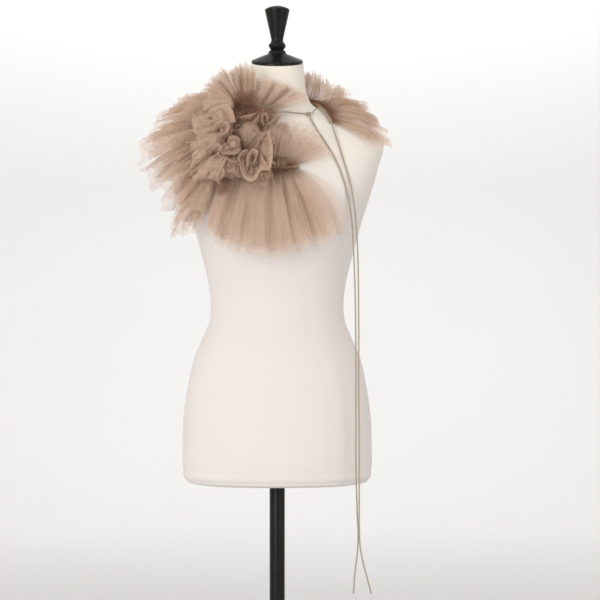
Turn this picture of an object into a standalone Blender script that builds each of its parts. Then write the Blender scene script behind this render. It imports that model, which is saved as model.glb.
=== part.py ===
"""A gathered tulle collar, worn by a limbless dress form on a pole.

The collar is one long strip of tulle, gathered on a drawstring that runs along its middle. Its gathering line goes
once round the neck and ends in a turned-back stretch on the chest, and on both sides of that line the cloth stands
out as a ruffle. Every ruffle is a wall whose inner edge follows the gathering line and whose outer edge, the hem,
follows a table of its own, with waves that grow from the gathers to the hem.

Tables are in millimetres, the scene in metres. +X is the form's left hand, which is on the right for a viewer
in front of it, -Y is its front, +Z is up, and the origin lies on the floor under the pole.
"""

from collections import namedtuple
from math import pi

import bmesh
import bpy
import numpy as np

MM = 0.001
GAP = 0.3

Ring = namedtuple("Ring", "height half front back power")
Turn = namedtuple("Turn", "radius height")
Disc = namedtuple("Disc", "radius height tilt")
Place = namedtuple("Place", "x y z")
Hem = namedtuple("Hem", "at x y z bow wave")
Ruffle = namedtuple("Ruffle", "name line waves rows hems")

# Dress form: half width, reach forwards and backwards, and squareness of each level ring
FORM = (
    Ring(673, 139, 90, 93, 2.2),
    Ring(675, 152, 100, 103, 2.2),
    Ring(682, 164, 108, 112, 2.2),
    Ring(700, 169, 113, 118, 2.2),
    Ring(740, 170, 117, 123, 2.2),
    Ring(785, 169, 117, 126, 2.2),
    Ring(817, 165.5, 115, 124, 2.2),
    Ring(858, 159, 112, 115, 2.2),
    Ring(900, 149, 107, 102, 2.1),
    Ring(936, 134, 99, 91, 2.0),
    Ring(965, 122, 91, 83, 2.0),
    Ring(990, 119.4, 88, 80, 2.0),
    Ring(1022, 121.5, 90, 79, 2.0),
    Ring(1067, 131, 99, 83, 2.2),
    Ring(1112, 143, 114, 89, 2.5),
    Ring(1157, 156, 127, 97, 2.6),
    Ring(1188, 166, 124, 101, 2.7),
    Ring(1220, 176, 112, 105, 2.8),
    Ring(1250, 184, 98, 107, 2.8),
    Ring(1276, 191, 84, 106, 2.8),
    Ring(1292, 190, 74, 100, 2.6),
    Ring(1306, 172, 66, 92, 2.4),
    Ring(1322, 134, 58, 80, 2.2),
    Ring(1338, 94, 52, 68, 2.0),
    Ring(1353, 66, 49, 60, 2.0),
    Ring(1374, 54, 49, 51, 2.0),
    Ring(1400, 49.5, 50.5, 45, 2.0),
    Ring(1429.5, 46.8, 51.5, 42, 2.0),
)
FORM_SIDES = 36
SHARP_ANGLE = 0.7
BUST_ACROSS = 72
BUST_HEIGHT = 1160
BUST_RISE = 9
BUST_SPREAD = 42

# Neck cap, its finial, the pole and the base plate
NECK_TILT = 0.22
NECK_TILT_FROM = 1365
NECK_TILT_FULL = 1415
NECK_CENTRE_Y = -5
CAP = (
    Disc(45.4, 1429.8, 1.0),
    Disc(46.4, 1431.2, 1.0),
    Disc(46.4, 1434.0, 1.0),
    Disc(44.8, 1435.6, 1.0),
    Disc(30.0, 1441.6, 0.8),
    Disc(17.0, 1446.6, 0.5),
    Disc(15.6, 1448.6, 0.3),
    Disc(15.2, 1451.4, 0.1),
    Disc(12.0, 1452.6, 0.0),
)
CAP_SIDES = 32
FINIAL = (
    Turn(0.0, 1533.0),
    Turn(9.0, 1532.2),
    Turn(17.5, 1529.4),
    Turn(22.2, 1526.4),
    Turn(22.4, 1524.6),
    Turn(10.8, 1473.0),
    Turn(10.8, 1468.6),
    Turn(15.4, 1462.8),
    Turn(15.7, 1460.4),
    Turn(12.0, 1453.6),
    Turn(11.2, 1452.9),
    Turn(0.0, 1452.9),
)
FINIAL_SIDES = 24
POLE_RADIUS = 13.75
POLE_SIDES = 24
SOCKET_FLOOR = 5.0
SOCKET_TOP = 46.0
BASE = (
    Turn(0.0, SOCKET_FLOOR),
    Turn(POLE_RADIUS + GAP, SOCKET_FLOOR),
    Turn(POLE_RADIUS + GAP, SOCKET_TOP),
    Turn(19.0, SOCKET_TOP),
    Turn(20.5, SOCKET_TOP - 2.0),
    Turn(22.0, 24.0),
    Turn(34.0, 16.0),
    Turn(120.0, 11.0),
    Turn(173.0, 8.5),
    Turn(179.0, 5.5),
    Turn(180.0, 2.0),
    Turn(179.0, 0.0),
    Turn(0.0, 0.0),
)
BASE_SIDES = 40

# Gathering lines: the middle of the casing, from the strip's right end round the neck to the chest, and back up
ROUND = (
    Place(97, -51.5, 1319.4),
    Place(88.4, -31, 1340),
    Place(67.6, 12, 1358.4),
    Place(39.2, 44.4, 1372),
    Place(0, 56, 1376),
    Place(-39.6, 44.2, 1372),
    Place(-67.5, 12, 1357.6),
    Place(-82.6, -22.3, 1345),
    Place(-95.4, -53, 1319.4),
    Place(-102.2, -78.6, 1284.6),
    Place(-91.4, -96, 1253.6),
    Place(-62, -108.4, 1234.8),
    Place(-28, -112.4, 1229.6),
    Place(6, -110.4, 1235.6),
    Place(39, -108, 1238),
)
CREST = (
    Place(-2, -80, 1336),
    Place(-26, -92, 1337),
    Place(-50, -100, 1344),
    Place(-70, -106, 1337),
    Place(-82, -114, 1315),
    Place(-80, -124, 1288),
    Place(-67, -133, 1265),
    Place(-46, -138, 1252),
    Place(-22, -137, 1245),
    Place(-6, -128, 1243),
    Place(3, -117, 1240),
)
LINES = {"round": ROUND, "crest": CREST}
CASING_RADIUS = 3.2
CASING_STEP = 9.0
CASING_INSET = 0.006
TUBE_RESOLUTION = 2
CASINGS = (
    ("casing_right", "round", 0.0, 2.5),
    ("casing_back", "round", 2.5, 5.5),
    ("casing_left", "round", 5.5, 9.5),
    ("casing_chest", "round", 9.5, 14.0),
    ("casing_crest", "crest", 0.0, 10.0),
)

# Ruffles: for each hem row, the place on the gathering line, the hem's point, the bow and the height of its waves
WALL = 1.0
STEPS_PER_WAVE = 4
ROOT_GAP = 0.6
SEAM = 0.016
WAVE_UNEVEN = 0.25
WAVE_DRIFT = 0.37
FINE_STEPS = 400
RUFFLES = (
    Ruffle("skirt_right_shoulder", "round", 11, 3, (
        Hem(0.0, 175, -76, 1282, 4, 4),
        Hem(0.35, 206, -62, 1285, 8, 6),
        Hem(0.7, 199, -42, 1308, 10, 7),
        Hem(1.1, 180, 4, 1337, 10, 8),
        Hem(1.5, 168, 40, 1352, 10, 8),
        Hem(1.8, 160, 84, 1352, 10, 8),
    )),
    Ruffle("skirt_back_right", "round", 9, 3, (
        Hem(1.8, 160, 84, 1352, 10, 8),
        Hem(2.4, 140, 128, 1318, 12, 8),
        Hem(3.0, 96, 158, 1278, 14, 8),
        Hem(4.0, 4, 172, 1246, 14, 8),
    )),
    Ruffle("skirt_back_left", "round", 9, 3, (
        Hem(4.0, 4, 172, 1246, 14, 8),
        Hem(5.0, -100, 158, 1276, 14, 8),
        Hem(5.6, -146, 126, 1318, 12, 8),
        Hem(6.1, -174, 82, 1352, 10, 8),
    )),
    Ruffle("skirt_left_shoulder", "round", 12, 3, (
        Hem(6.1, -176, 78, 1353, 10, 8),
        Hem(6.5, -186, 42, 1370, 10, 7),
        Hem(7.0, -216, -5, 1345, 10, 6),
        Hem(7.35, -237, -36, 1312, 8, 5),
        Hem(7.7, -256, -60, 1281, 8, 5),
        Hem(8.1, -247, -82, 1238, 8, 5),
    )),
    Ruffle("skirt_left_chest", "round", 9, 3, (
        Hem(8.15, -246, -83, 1233, 8, 6),
        Hem(8.55, -226, -98, 1197, 8, 5),
        Hem(9.05, -206, -110, 1160, 8, 5),
        Hem(9.5, -190, -121, 1120, 8, 5),
        Hem(9.9, -166, -128, 1107, 8, 5),
        Hem(10.3, -141, -134, 1108, 8, 5),
    )),
    Ruffle("skirt_chest", "round", 14, 3, (
        Hem(10.35, -124, -139, 1121, 8, 6),
        Hem(11.0, -101, -152, 1102, 10, 8),
        Hem(11.8, -52, -158, 1086, 10, 9),
        Hem(12.6, 8, -159, 1080, 10, 9),
        Hem(13.25, 61, -154, 1098, 10, 9),
        Hem(13.7, 103, -146, 1113, 9, 8),
        Hem(14.0, 125, -138, 1139, 8, 7),
    )),
    Ruffle("frill_right_neck", "round", 7, 2, (
        Hem(0.7, 136, 2, 1384, -2, 3),
        Hem(1.0, 127, 14, 1392, -2, 4),
        Hem(1.3, 112, 30, 1400, -2, 5),
        Hem(1.65, 95, 46, 1407, -2, 5),
        Hem(2.0, 84, 62, 1416, -2, 5),
        Hem(2.5, 68, 88, 1424, -2, 5),
    )),
    Ruffle("frill_back", "round", 12, 2, (
        Hem(2.5, 70, 92, 1424, -2, 6),
        Hem(3.3, 32, 116, 1424, -2, 6),
        Hem(4.0, 0, 120, 1424, -2, 6),
        Hem(4.7, -34, 116, 1422, -2, 6),
        Hem(5.5, -76, 88, 1420, -2, 6),
    )),
    Ruffle("frill_left_shoulder", "round", 10, 2, (
        Hem(5.5, -80, 84, 1420, -2, 6),
        Hem(6.2, -120, 42, 1398, 2, 6),
        Hem(6.6, -141, 0, 1384, 4, 6),
        Hem(7.0, -160, -44, 1364, 6, 6),
        Hem(7.6, -190, -90, 1329, 8, 6),
        Hem(8.1, -210, -117, 1297, 10, 5),
    )),
    Ruffle("frill_left_chest", "round", 9, 2, (
        Hem(8.15, -211, -121, 1293, 10, 5),
        Hem(8.5, -219, -138, 1261, 12, 6),
        Hem(9.1, -198, -158, 1211, 12, 6),
        Hem(9.65, -178, -168, 1163, 12, 6),
        Hem(10.0, -163, -174, 1142, 12, 6),
        Hem(10.3, -132, -180, 1148, 12, 6),
    )),
    Ruffle("frill_hollow", "round", 7, 2, (
        Hem(8.6, -56, -108, 1338, 0, 4),
        Hem(9.3, -40, -120, 1318, 0, 5),
        Hem(10.0, -28, -130, 1296, 0, 5),
        Hem(10.7, -20, -138, 1274, 0, 5),
    )),
    Ruffle("frill_chest_end", "round", 7, 3, (
        Hem(12.0, -15, -112, 1318, -2, 2),
        Hem(12.4, 10, -108, 1321, -2, 3),
        Hem(12.8, 41, -102, 1317, -3, 4),
        Hem(13.2, 69, -98, 1306, -4, 4),
        Hem(13.65, 88, -98, 1283, -4, 5),
        Hem(14.0, 105, -99, 1256, -3, 4),
    )),
    Ruffle("crest_throat", "crest", 9, 2, (
        Hem(0.0, 58, -83, 1352, 2, 3),
        Hem(0.4, 50, -85, 1371, 2, 4),
        Hem(0.8, 27, -89, 1383, 3, 5),
        Hem(1.3, -4, -92, 1393, 4, 6),
        Hem(1.8, -36, -95, 1399, 4, 6),
    )),
    Ruffle("crest_top", "crest", 9, 3, (
        Hem(1.82, -39, -98, 1417, 4, 6),
        Hem(2.1, -62, -101, 1422, 4, 6),
        Hem(2.5, -94, -106, 1411, 5, 6),
        Hem(2.9, -119, -112, 1395, 6, 6),
        Hem(3.3, -131, -118, 1377, 6, 6),
    )),
    Ruffle("crest_left", "crest", 11, 3, (
        Hem(3.33, -131, -121, 1373, 6, 6),
        Hem(3.8, -130, -142, 1335, 8, 6),
        Hem(4.4, -142, -168, 1292, 10, 6),
        Hem(5.0, -150, -186, 1248, 10, 7),
        Hem(5.5, -134, -196, 1211, 10, 7),
        Hem(5.9, -106, -200, 1203, 10, 7),
    )),
    Ruffle("curl_upper", "crest", 4, 2, (
        Hem(3.3, -62, -146, 1328, 0, 4),
        Hem(4.2, -66, -158, 1304, 0, 4),
        Hem(4.9, -66, -168, 1282, 0, 4),
    )),
    Ruffle("curl_middle", "crest", 4, 2, (
        Hem(4.95, -56, -160, 1303, 0, 2),
        Hem(5.9, -38, -171, 1299, 0, 4),
        Hem(6.9, -20, -176, 1292, 0, 5),
        Hem(8.0, 2, -176, 1283, 0, 4),
    )),
    Ruffle("curl_lower", "crest", 7, 2, (
        Hem(5.95, -78, -184, 1240, 0, 4),
        Hem(6.4, -64, -192, 1224, 0, 6),
        Hem(6.9, -46, -194, 1215, 0, 7),
        Hem(7.4, -26, -192, 1210, 0, 7),
        Hem(8.0, -4, -184, 1218, 0, 6),
    )),
)

# Uneven hems: along the gathering line, the share of its full depth that the cloth reaches
Reach = namedtuple("Reach", "at share")
EDGES = {
    "skirt_left_shoulder": (
        Reach(6.1, 1.0),
        Reach(6.5, 1.0),
        Reach(6.72, 0.88),
        Reach(7.0, 1.0),
        Reach(7.15, 0.98),
        Reach(7.4, 0.87),
        Reach(7.7, 1.0),
        Reach(8.1, 1.0),
    ),
    "skirt_left_chest": (
        Reach(8.15, 1.0),
        Reach(8.5, 0.98),
        Reach(8.75, 0.84),
        Reach(9.05, 1.0),
        Reach(9.25, 0.86),
        Reach(9.5, 1.0),
        Reach(9.9, 1.0),
        Reach(10.3, 0.86),
    ),
    "frill_left_shoulder": (
        Reach(5.5, 1.0),
        Reach(7.0, 1.0),
        Reach(7.25, 0.92),
        Reach(7.6, 1.0),
        Reach(7.85, 0.91),
        Reach(8.1, 1.0),
    ),
    "frill_left_chest": (
        Reach(8.15, 1.0),
        Reach(8.45, 1.0),
        Reach(8.7, 0.87),
        Reach(9.1, 1.0),
        Reach(9.4, 0.84),
        Reach(9.7, 1.0),
        Reach(10.0, 1.0),
        Reach(10.3, 0.92),
    ),
}

# Drawstring: across the throat, its knot, and the two free ends
CORD_RADIUS = 1.4
THROAT = (
    Place(-1.6, -79.8, 1336),
    Place(16, -69, 1336.5),
    Place(34, -57.5, 1336),
    Place(49.8, -50.8, 1335),
)
THROAT_POINTS = 8
KNOT_CENTRE = Place(56.1, -51, 1334.9)
KNOT = (
    Turn(0.0, 5.5),
    Turn(2.2, 5.2),
    Turn(3.9, 3.6),
    Turn(4.0, 2.0),
    Turn(3.1, 0.0),
    Turn(4.0, -2.0),
    Turn(3.9, -3.6),
    Turn(2.2, -5.2),
    Turn(0.0, -5.5),
)
KNOT_SIDES = 12
END_A = (
    Place(57.8, -53.4, 1330.4),
    Place(64, -58.5, 1318),
    Place(73, -68.5, 1302),
    Place(95, -87, 1267),
    Place(113, -99.5, 1228),
    Place(124, -103.4, 1190),
    Place(131, -104.5, 1150),
    Place(135, -104, 1091),
    Place(138, -103, 1000),
    Place(139, -103, 900),
    Place(139, -103, 800),
    Place(139, -102, 720),
    Place(141, -100, 640),
    Place(143, -99, 580),
    Place(137, -99, 520),
    Place(135, -99, 489),
)
END_B = (
    Place(62.8, -51.5, 1335.6),
    Place(67, -51, 1341.5),
    Place(73, -49, 1344.5),
    Place(82, -47.5, 1340),
    Place(94, -58.5, 1324),
    Place(103, -70.5, 1297),
    Place(112, -84.5, 1268),
    Place(128, -97.4, 1214),
    Place(135, -100.5, 1178),
    Place(140, -101, 1130),
    Place(143, -101, 1060),
    Place(144, -101, 960),
    Place(144, -101, 860),
    Place(145, -101, 760),
    Place(145, -102, 680),
    Place(145, -106, 600),
    Place(149, -107, 556),
    Place(166, -104, 489),
)
END_POINTS = 40

# Colours and finishes
Finish = namedtuple("Finish", "red green blue roughness metallic")
FINISHES = {
    "tulle": Finish(0.50, 0.35, 0.26, 0.85, 0.0),
    "casing": Finish(0.36, 0.24, 0.17, 0.9, 0.0),
    "cord": Finish(0.36, 0.31, 0.25, 0.8, 0.0),
    "jersey": Finish(0.84, 0.79, 0.73, 0.9, 0.0),
    "black_paint": Finish(0.015, 0.015, 0.015, 0.25, 0.0),
}


def clear_objects():
    """Remove every object of the open file."""
    for item in list(bpy.data.objects):
        bpy.data.objects.remove(item, do_unlink=True)


def finish(item, name):
    """Give an object its own Principled material of a named finish."""
    colour = FINISHES[name]
    material = bpy.data.materials.new(f"{item.name}_{name}")
    material.use_nodes = True
    shader = material.node_tree.nodes["Principled BSDF"]
    shader.inputs["Base Color"].default_value = (colour.red, colour.green, colour.blue, 1.0)
    shader.inputs["Roughness"].default_value = colour.roughness
    shader.inputs["Metallic"].default_value = colour.metallic
    item.data.materials.clear()
    item.data.materials.append(material)


def add_object(name, data, collection, finish_name):
    """Put a mesh or curve into the part's collection as one named sub-part."""
    item = bpy.data.objects.new(name, data)
    collection.objects.link(item)
    finish(item, finish_name)
    return item


def column(table, name):
    """One named column of a table, as an array."""
    return np.array([getattr(row, name) for row in table], float)


def through(knots, values, wanted):
    """Read a smooth curve through values at knots: cubic Hermite pieces with centred slopes."""
    slopes = np.gradient(values, knots)
    left = np.clip(np.searchsorted(knots, wanted, side="right") - 1, 0, len(knots) - 2)
    span = knots[left + 1] - knots[left]
    s = (wanted - knots[left]) / span
    return (
        (1 + 2 * s) * (1 - s) ** 2 * values[left]
        + s * (1 - s) ** 2 * span * slopes[left]
        + s * s * (3 - 2 * s) * values[left + 1]
        + s * s * (s - 1) * span * slopes[left + 1]
    )


def on_line(places, wanted):
    """Points of the smooth line through a list of places; 2.5 is halfway from the third place to the fourth."""
    knots = np.arange(len(places), dtype=float)
    return np.stack([through(knots, column(places, axis), wanted) for axis in "xyz"], axis=-1)


def evenly(places, start, end, count):
    """Points at equal distances along the smooth line through places."""
    fine = np.linspace(start, end, FINE_STEPS)
    points = on_line(places, fine)
    walked = np.concatenate([[0.0], np.cumsum(np.linalg.norm(np.diff(points, axis=0), axis=1))])
    return on_line(places, np.interp(np.linspace(0, walked[-1], count), walked, fine))


def unit(vectors):
    """Vectors of length one."""
    return vectors / np.linalg.norm(vectors, axis=-1, keepdims=True)


def tilted(points, share):
    """Lean points forwards with the neck: their height falls with their reach to the front."""
    leaned = points.copy()
    leaned[..., 2] += NECK_TILT * share * (points[..., 1] - NECK_CENTRE_Y)
    return leaned


def form_ring(ring):
    """One ring of the dress form: a superellipse, deeper in front or behind, with two soft rises at the bust."""
    angle = np.arange(FORM_SIDES) * 2 * pi / FORM_SIDES
    across = np.sign(np.cos(angle)) * np.abs(np.cos(angle)) ** (2 / ring.power)
    along = np.sign(np.sin(angle)) * np.abs(np.sin(angle)) ** (2 / ring.power)
    x = ring.half * across
    y = np.where(along < 0, ring.front, ring.back) * along
    rise = np.exp(-((np.abs(x) - BUST_ACROSS) / BUST_SPREAD) ** 2 - ((ring.height - BUST_HEIGHT) / BUST_SPREAD) ** 2)
    y = y - BUST_RISE * rise * (along < 0)
    level = np.full(FORM_SIDES, float(ring.height))
    share = np.clip((ring.height - NECK_TILT_FROM) / (NECK_TILT_FULL - NECK_TILT_FROM), 0, 1)
    return tilted(np.stack([x, y, level], axis=-1), share)


def cap_ring(disc):
    """One ring of the neck cap, a circle that leans as the neck does."""
    angle = np.arange(CAP_SIDES) * 2 * pi / CAP_SIDES
    ring = np.stack([
        disc.radius * np.cos(angle),
        NECK_CENTRE_Y + disc.radius * np.sin(angle),
        np.full(CAP_SIDES, float(disc.height)),
    ], axis=-1)
    return tilted(ring, disc.tilt)


def loft(name, rings, collection, finish_name):
    """A closed body through rings of equal length, lowest first, with a face across each end."""
    sides = len(rings[0])
    shape = bmesh.new()
    levels = [[shape.verts.new(point * MM) for point in ring] for ring in rings]
    for lower, upper in zip(levels, levels[1:]):
        for k in range(sides):
            m = (k + 1) % sides
            shape.faces.new((lower[k], lower[m], upper[m], upper[k]))
    shape.faces.new(levels[0][::-1])
    shape.faces.new(levels[-1])
    mesh = bpy.data.meshes.new(name)
    shape.to_mesh(mesh)
    shape.free()
    mesh.shade_smooth()
    mesh.set_sharp_from_angle(angle=SHARP_ANGLE)
    return add_object(name, mesh, collection, finish_name)


def turned(name, profile, sides, collection, finish_name, centre=(0.0, 0.0, 0.0)):
    """A turned body: a profile that runs down its outer side, swept once round the upright axis."""
    mesh = bpy.data.meshes.new(name)
    points = [(turn.radius * MM, 0.0, turn.height * MM) for turn in profile]
    mesh.from_pydata(points, [(k, k + 1) for k in range(len(points) - 1)], [])
    item = add_object(name, mesh, collection, finish_name)
    item.location = centre
    screw = item.modifiers.new("turn", "SCREW")
    screw.axis = "Z"
    screw.steps = sides
    screw.render_steps = sides
    screw.use_merge_vertices = True
    screw.merge_threshold = 0.00001
    screw.use_smooth_shade = True
    return item


def tube(name, points, radius, collection, finish_name):
    """A round tube with filled ends along a run of points."""
    curve = bpy.data.curves.new(name, "CURVE")
    curve.dimensions = "3D"
    curve.bevel_depth = radius * MM
    curve.bevel_resolution = TUBE_RESOLUTION
    curve.use_fill_caps = True
    run = curve.splines.new("POLY")
    run.points.add(len(points) - 1)
    for spot, point in zip(run.points, points * MM):
        spot.co = (*point, 1.0)
    return add_object(name, curve, collection, finish_name)


def ruffle_points(ruffle, across, out):
    """Points of one ruffle's middle surface.

    across runs from 0 to 1 along the hem and out from 0 at the gathers to 1 at the hem. A straight line joins the
    casing's side to the hem, as far as the uneven edge reaches. It is bowed by a parabola and moved sideways by a
    wave that grows in proportion to out.
    """
    at = column(ruffle.hems, "at")
    fine = np.linspace(at[0] + SEAM, at[-1] - SEAM, FINE_STEPS)
    hem_line = np.stack([through(at, column(ruffle.hems, axis), fine) for axis in "xyz"], axis=-1)
    walked = np.concatenate([[0.0], np.cumsum(np.linalg.norm(np.diff(hem_line, axis=0), axis=1))])
    place = np.interp(across * walked[-1], walked, fine)
    hem = np.stack([through(at, column(ruffle.hems, axis), place) for axis in "xyz"], axis=-1)
    line = LINES[ruffle.line]
    middle = on_line(line, place)
    step = 0.01
    ends = (np.clip(place - step, 0, len(line) - 1), np.clip(place + step, 0, len(line) - 1))
    tangent = unit(on_line(line, ends[1]) - on_line(line, ends[0]))
    aim = hem - middle
    aim = unit(aim - (aim * tangent).sum(axis=-1, keepdims=True) * tangent)
    root = middle + (CASING_RADIUS + ROOT_GAP) * aim
    edge = EDGES.get(ruffle.name, (Reach(at[0], 1.0), Reach(at[-1], 1.0)))
    hem = root + np.interp(place, column(edge, "at"), column(edge, "share"))[:, None] * (hem - root)
    phase = 2 * pi * ruffle.waves * across
    uneven = 1 + WAVE_UNEVEN * np.sin(WAVE_DRIFT * phase + ruffle.waves) * np.sin(pi * across)
    wave = through(at, column(ruffle.hems, "wave"), place) * uneven * np.sin(phase)
    bow = through(at, column(ruffle.hems, "bow"), place)
    aside = wave[:, None] * out[None, :] + 4 * bow[:, None] * (out * (1 - out))[None, :]
    straight = root[:, None, :] + out[None, :, None] * (hem - root)[:, None, :]
    normal = unit(np.cross((hem - root)[:, None, :], np.gradient(straight, axis=0)))
    return straight + aside[:, :, None] * normal


def ruffle(row, collection):
    """One stretch of ruffle: a grid laid on its surface, then thickened to the wall."""
    steps = row.waves * STEPS_PER_WAVE
    shape = bmesh.new()
    bmesh.ops.create_grid(shape, x_segments=steps, y_segments=row.rows, size=1.0)
    flat = np.array([vertex.co for vertex in shape.verts])
    across = np.linspace(0, 1, steps + 1)
    out = np.linspace(0, 1, row.rows + 1)
    points = ruffle_points(row, across, out)
    columns = np.rint((flat[:, 0] + 1) / 2 * steps).astype(int)
    levels = np.rint((flat[:, 1] + 1) / 2 * row.rows).astype(int)
    for vertex, point in zip(shape.verts, points[columns, levels] * MM):
        vertex.co = point
    mesh = bpy.data.meshes.new(row.name)
    shape.to_mesh(mesh)
    shape.free()
    item = add_object(row.name, mesh, collection, "tulle")
    wall = item.modifiers.new("wall", "SOLIDIFY")
    wall.thickness = WALL * MM
    wall.offset = 0.0
    wall.use_rim = True
    return item


def casing(name, line, start, end, collection):
    """One stretch of the gathering tunnel, a round tube along its line."""
    fine = on_line(LINES[line], np.linspace(start, end, FINE_STEPS))
    length = np.linalg.norm(np.diff(fine, axis=0), axis=1).sum()
    points = evenly(LINES[line], start + CASING_INSET, end - CASING_INSET, int(length / CASING_STEP) + 1)
    return tube(name, points, CASING_RADIUS, collection, "casing")


def dress_form(collection):
    """The torso with its neck, the tilted cap, the finial, the pole and the base plate."""
    loft("form_torso", [form_ring(ring) for ring in FORM], collection, "jersey")
    loft("neck_cap", [cap_ring(disc) for disc in CAP], collection, "black_paint")
    centre = (0.0, NECK_CENTRE_Y * MM, 0.0)
    turned("finial", FINIAL, FINIAL_SIDES, collection, "black_paint", centre)
    pole = (
        Turn(0.0, FORM[0].height - GAP),
        Turn(POLE_RADIUS, FORM[0].height - GAP),
        Turn(POLE_RADIUS, SOCKET_FLOOR + GAP),
        Turn(0.0, SOCKET_FLOOR + GAP),
    )
    turned("pole", pole, POLE_SIDES, collection, "black_paint")
    turned("base", BASE, BASE_SIDES, collection, "black_paint")


def drawstring(collection):
    """The cord across the throat, the knot and the two free ends that hang from it."""
    throat = evenly(THROAT, 0, len(THROAT) - 1, THROAT_POINTS)
    tube("drawstring_front", throat, CORD_RADIUS, collection, "cord")
    knot = turned("knot", KNOT, KNOT_SIDES, collection, "cord", np.array(KNOT_CENTRE) * MM)
    knot.rotation_euler = (0.0, pi / 2, 0.0)
    for name, places in (("cord_end_a", END_A), ("cord_end_b", END_B)):
        points = evenly(places, 0, len(places) - 1, END_POINTS)
        tube(name, points, CORD_RADIUS, collection, "cord")


def build():
    """Make the whole part in a collection of its own."""
    clear_objects()
    collection = bpy.data.collections.new("tulle_collar_on_dress_form")
    bpy.context.scene.collection.children.link(collection)
    dress_form(collection)
    for name, line, start, end in CASINGS:
        casing(name, line, start, end, collection)
    for row in RUFFLES:
        ruffle(row, collection)
    drawstring(collection)


build()
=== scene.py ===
"""Dresses a gathered tulle collar and the dress form that wears it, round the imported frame.

Every new piece is a surface worked out with numpy as whole arrays. Tables are in millimetres, the scene is
in metres. +X is the form's left hand, -Y its front and +Z is up. The origin lies on the floor under the
pole.
"""

from collections import namedtuple
from math import pi, radians

import bpy
import numpy as np
from bpy.props import FloatProperty, FloatVectorProperty, PointerProperty
from bpy.types import Operator, Panel, PropertyGroup
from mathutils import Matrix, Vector


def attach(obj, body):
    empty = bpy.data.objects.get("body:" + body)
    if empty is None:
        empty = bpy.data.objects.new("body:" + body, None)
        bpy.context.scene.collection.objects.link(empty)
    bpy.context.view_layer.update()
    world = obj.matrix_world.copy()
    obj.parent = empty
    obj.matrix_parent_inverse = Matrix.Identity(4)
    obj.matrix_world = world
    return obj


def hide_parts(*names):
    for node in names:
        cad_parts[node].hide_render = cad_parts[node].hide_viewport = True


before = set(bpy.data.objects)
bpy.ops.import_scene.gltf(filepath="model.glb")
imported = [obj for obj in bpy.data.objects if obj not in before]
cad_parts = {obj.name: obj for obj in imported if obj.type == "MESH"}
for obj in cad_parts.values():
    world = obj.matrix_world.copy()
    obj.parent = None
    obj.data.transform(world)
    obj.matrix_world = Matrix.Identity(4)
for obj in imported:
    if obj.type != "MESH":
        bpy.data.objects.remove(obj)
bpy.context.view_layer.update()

bl_info = {
    "name": "Tulle Collar on a Dress Form",
    "version": (1, 0, 0),
    "blender": (4, 5, 0),
    "location": "View3D > Sidebar > Tulle Collar",
    "description": "Builds a gathered tulle collar with its drawstring and the dress form under it",
    "category": "Object",
}

BODY = "root"
MM = 0.001

Ring = namedtuple("Ring", "height half front back power")
Turn = namedtuple("Turn", "radius height")
Disc = namedtuple("Disc", "radius height tilt")
Place = namedtuple("Place", "x y z")
Hem = namedtuple("Hem", "at x y z bow wave roll", defaults=(0,))
Reach = namedtuple("Reach", "at share")
Crease = namedtuple("Crease", "at width depth start")
Fold = namedtuple("Fold", "node root lip layers places")
Puff = namedtuple("Puff", "node x y z half_width half_height bulge turn pleats layers rough root")
Light = namedtuple("Light", "name place target size power")
Bed = namedtuple("Bed", "across root hem side along bow wave roll length depth")


def table_of(kind):
    """A maker of tables: it turns plain rows into rows with the kind's named columns."""
    def table(*rows):
        return tuple(kind(*row) for row in rows)
    return table


ring_table, turn_table, disc_table = table_of(Ring), table_of(Turn), table_of(Disc)
place_table, hem_table, reach_table = table_of(Place), table_of(Hem), table_of(Reach)
crease_table, fold_table, puff_table = table_of(Crease), table_of(Fold), table_of(Puff)
light_table = table_of(Light)

# Dress form: height, half width, reach forwards and backwards, and squareness of each level
FORM = ring_table(
    (673, 139, 90, 93, 2.2), (675, 152, 100, 103, 2.2), (682, 164, 108, 112, 2.2),
    (700, 169, 113, 118, 2.2), (740, 170, 117, 123, 2.2), (785, 169, 117, 126, 2.2),
    (817, 165.5, 115, 124, 2.2), (858, 159, 112, 115, 2.2), (900, 149, 107, 102, 2.1),
    (936, 134, 99, 91, 2.0), (965, 122, 91, 83, 2.0), (990, 119.4, 88, 80, 2.0),
    (1022, 121.5, 90, 79, 2.0), (1067, 131, 99, 83, 2.2), (1112, 143, 114, 89, 2.5),
    (1157, 156, 127, 97, 2.6), (1188, 166, 124, 101, 2.7), (1220, 176, 112, 105, 2.8),
    (1250, 184, 98, 107, 2.8), (1276, 191, 84, 106, 2.8), (1292, 190, 74, 100, 2.6),
    (1306, 172, 66, 92, 2.4), (1322, 134, 58, 80, 2.2), (1338, 94, 52, 68, 2.0),
    (1353, 66, 49, 60, 2.0), (1374, 54, 49, 51, 2.0), (1400, 49.5, 50.5, 45, 2.0),
    (1429.5, 46.8, 51.5, 42, 2.0),
)
FORM_LEVELS = 200
FORM_SIDES = 180
FOOT_LEVELS = 24
BUST_ACROSS = 72
BUST_HEIGHT = 1160
BUST_RISE = 9
BUST_SPREAD = 42
NECK_TILT = 0.22
NECK_TILT_FROM = 1365
NECK_TILT_FULL = 1415
NECK_CENTRE_Y = -5
# Seams of the cover: how far each lies from the middle at the hips, the waist, the bust and the shoulder
SEAM_HEIGHTS = (673, 860, 990, 1160, 1300, 1430)
PRINCESS_SEAM = (97, 86, 52, 74, 66, 30)

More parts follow.
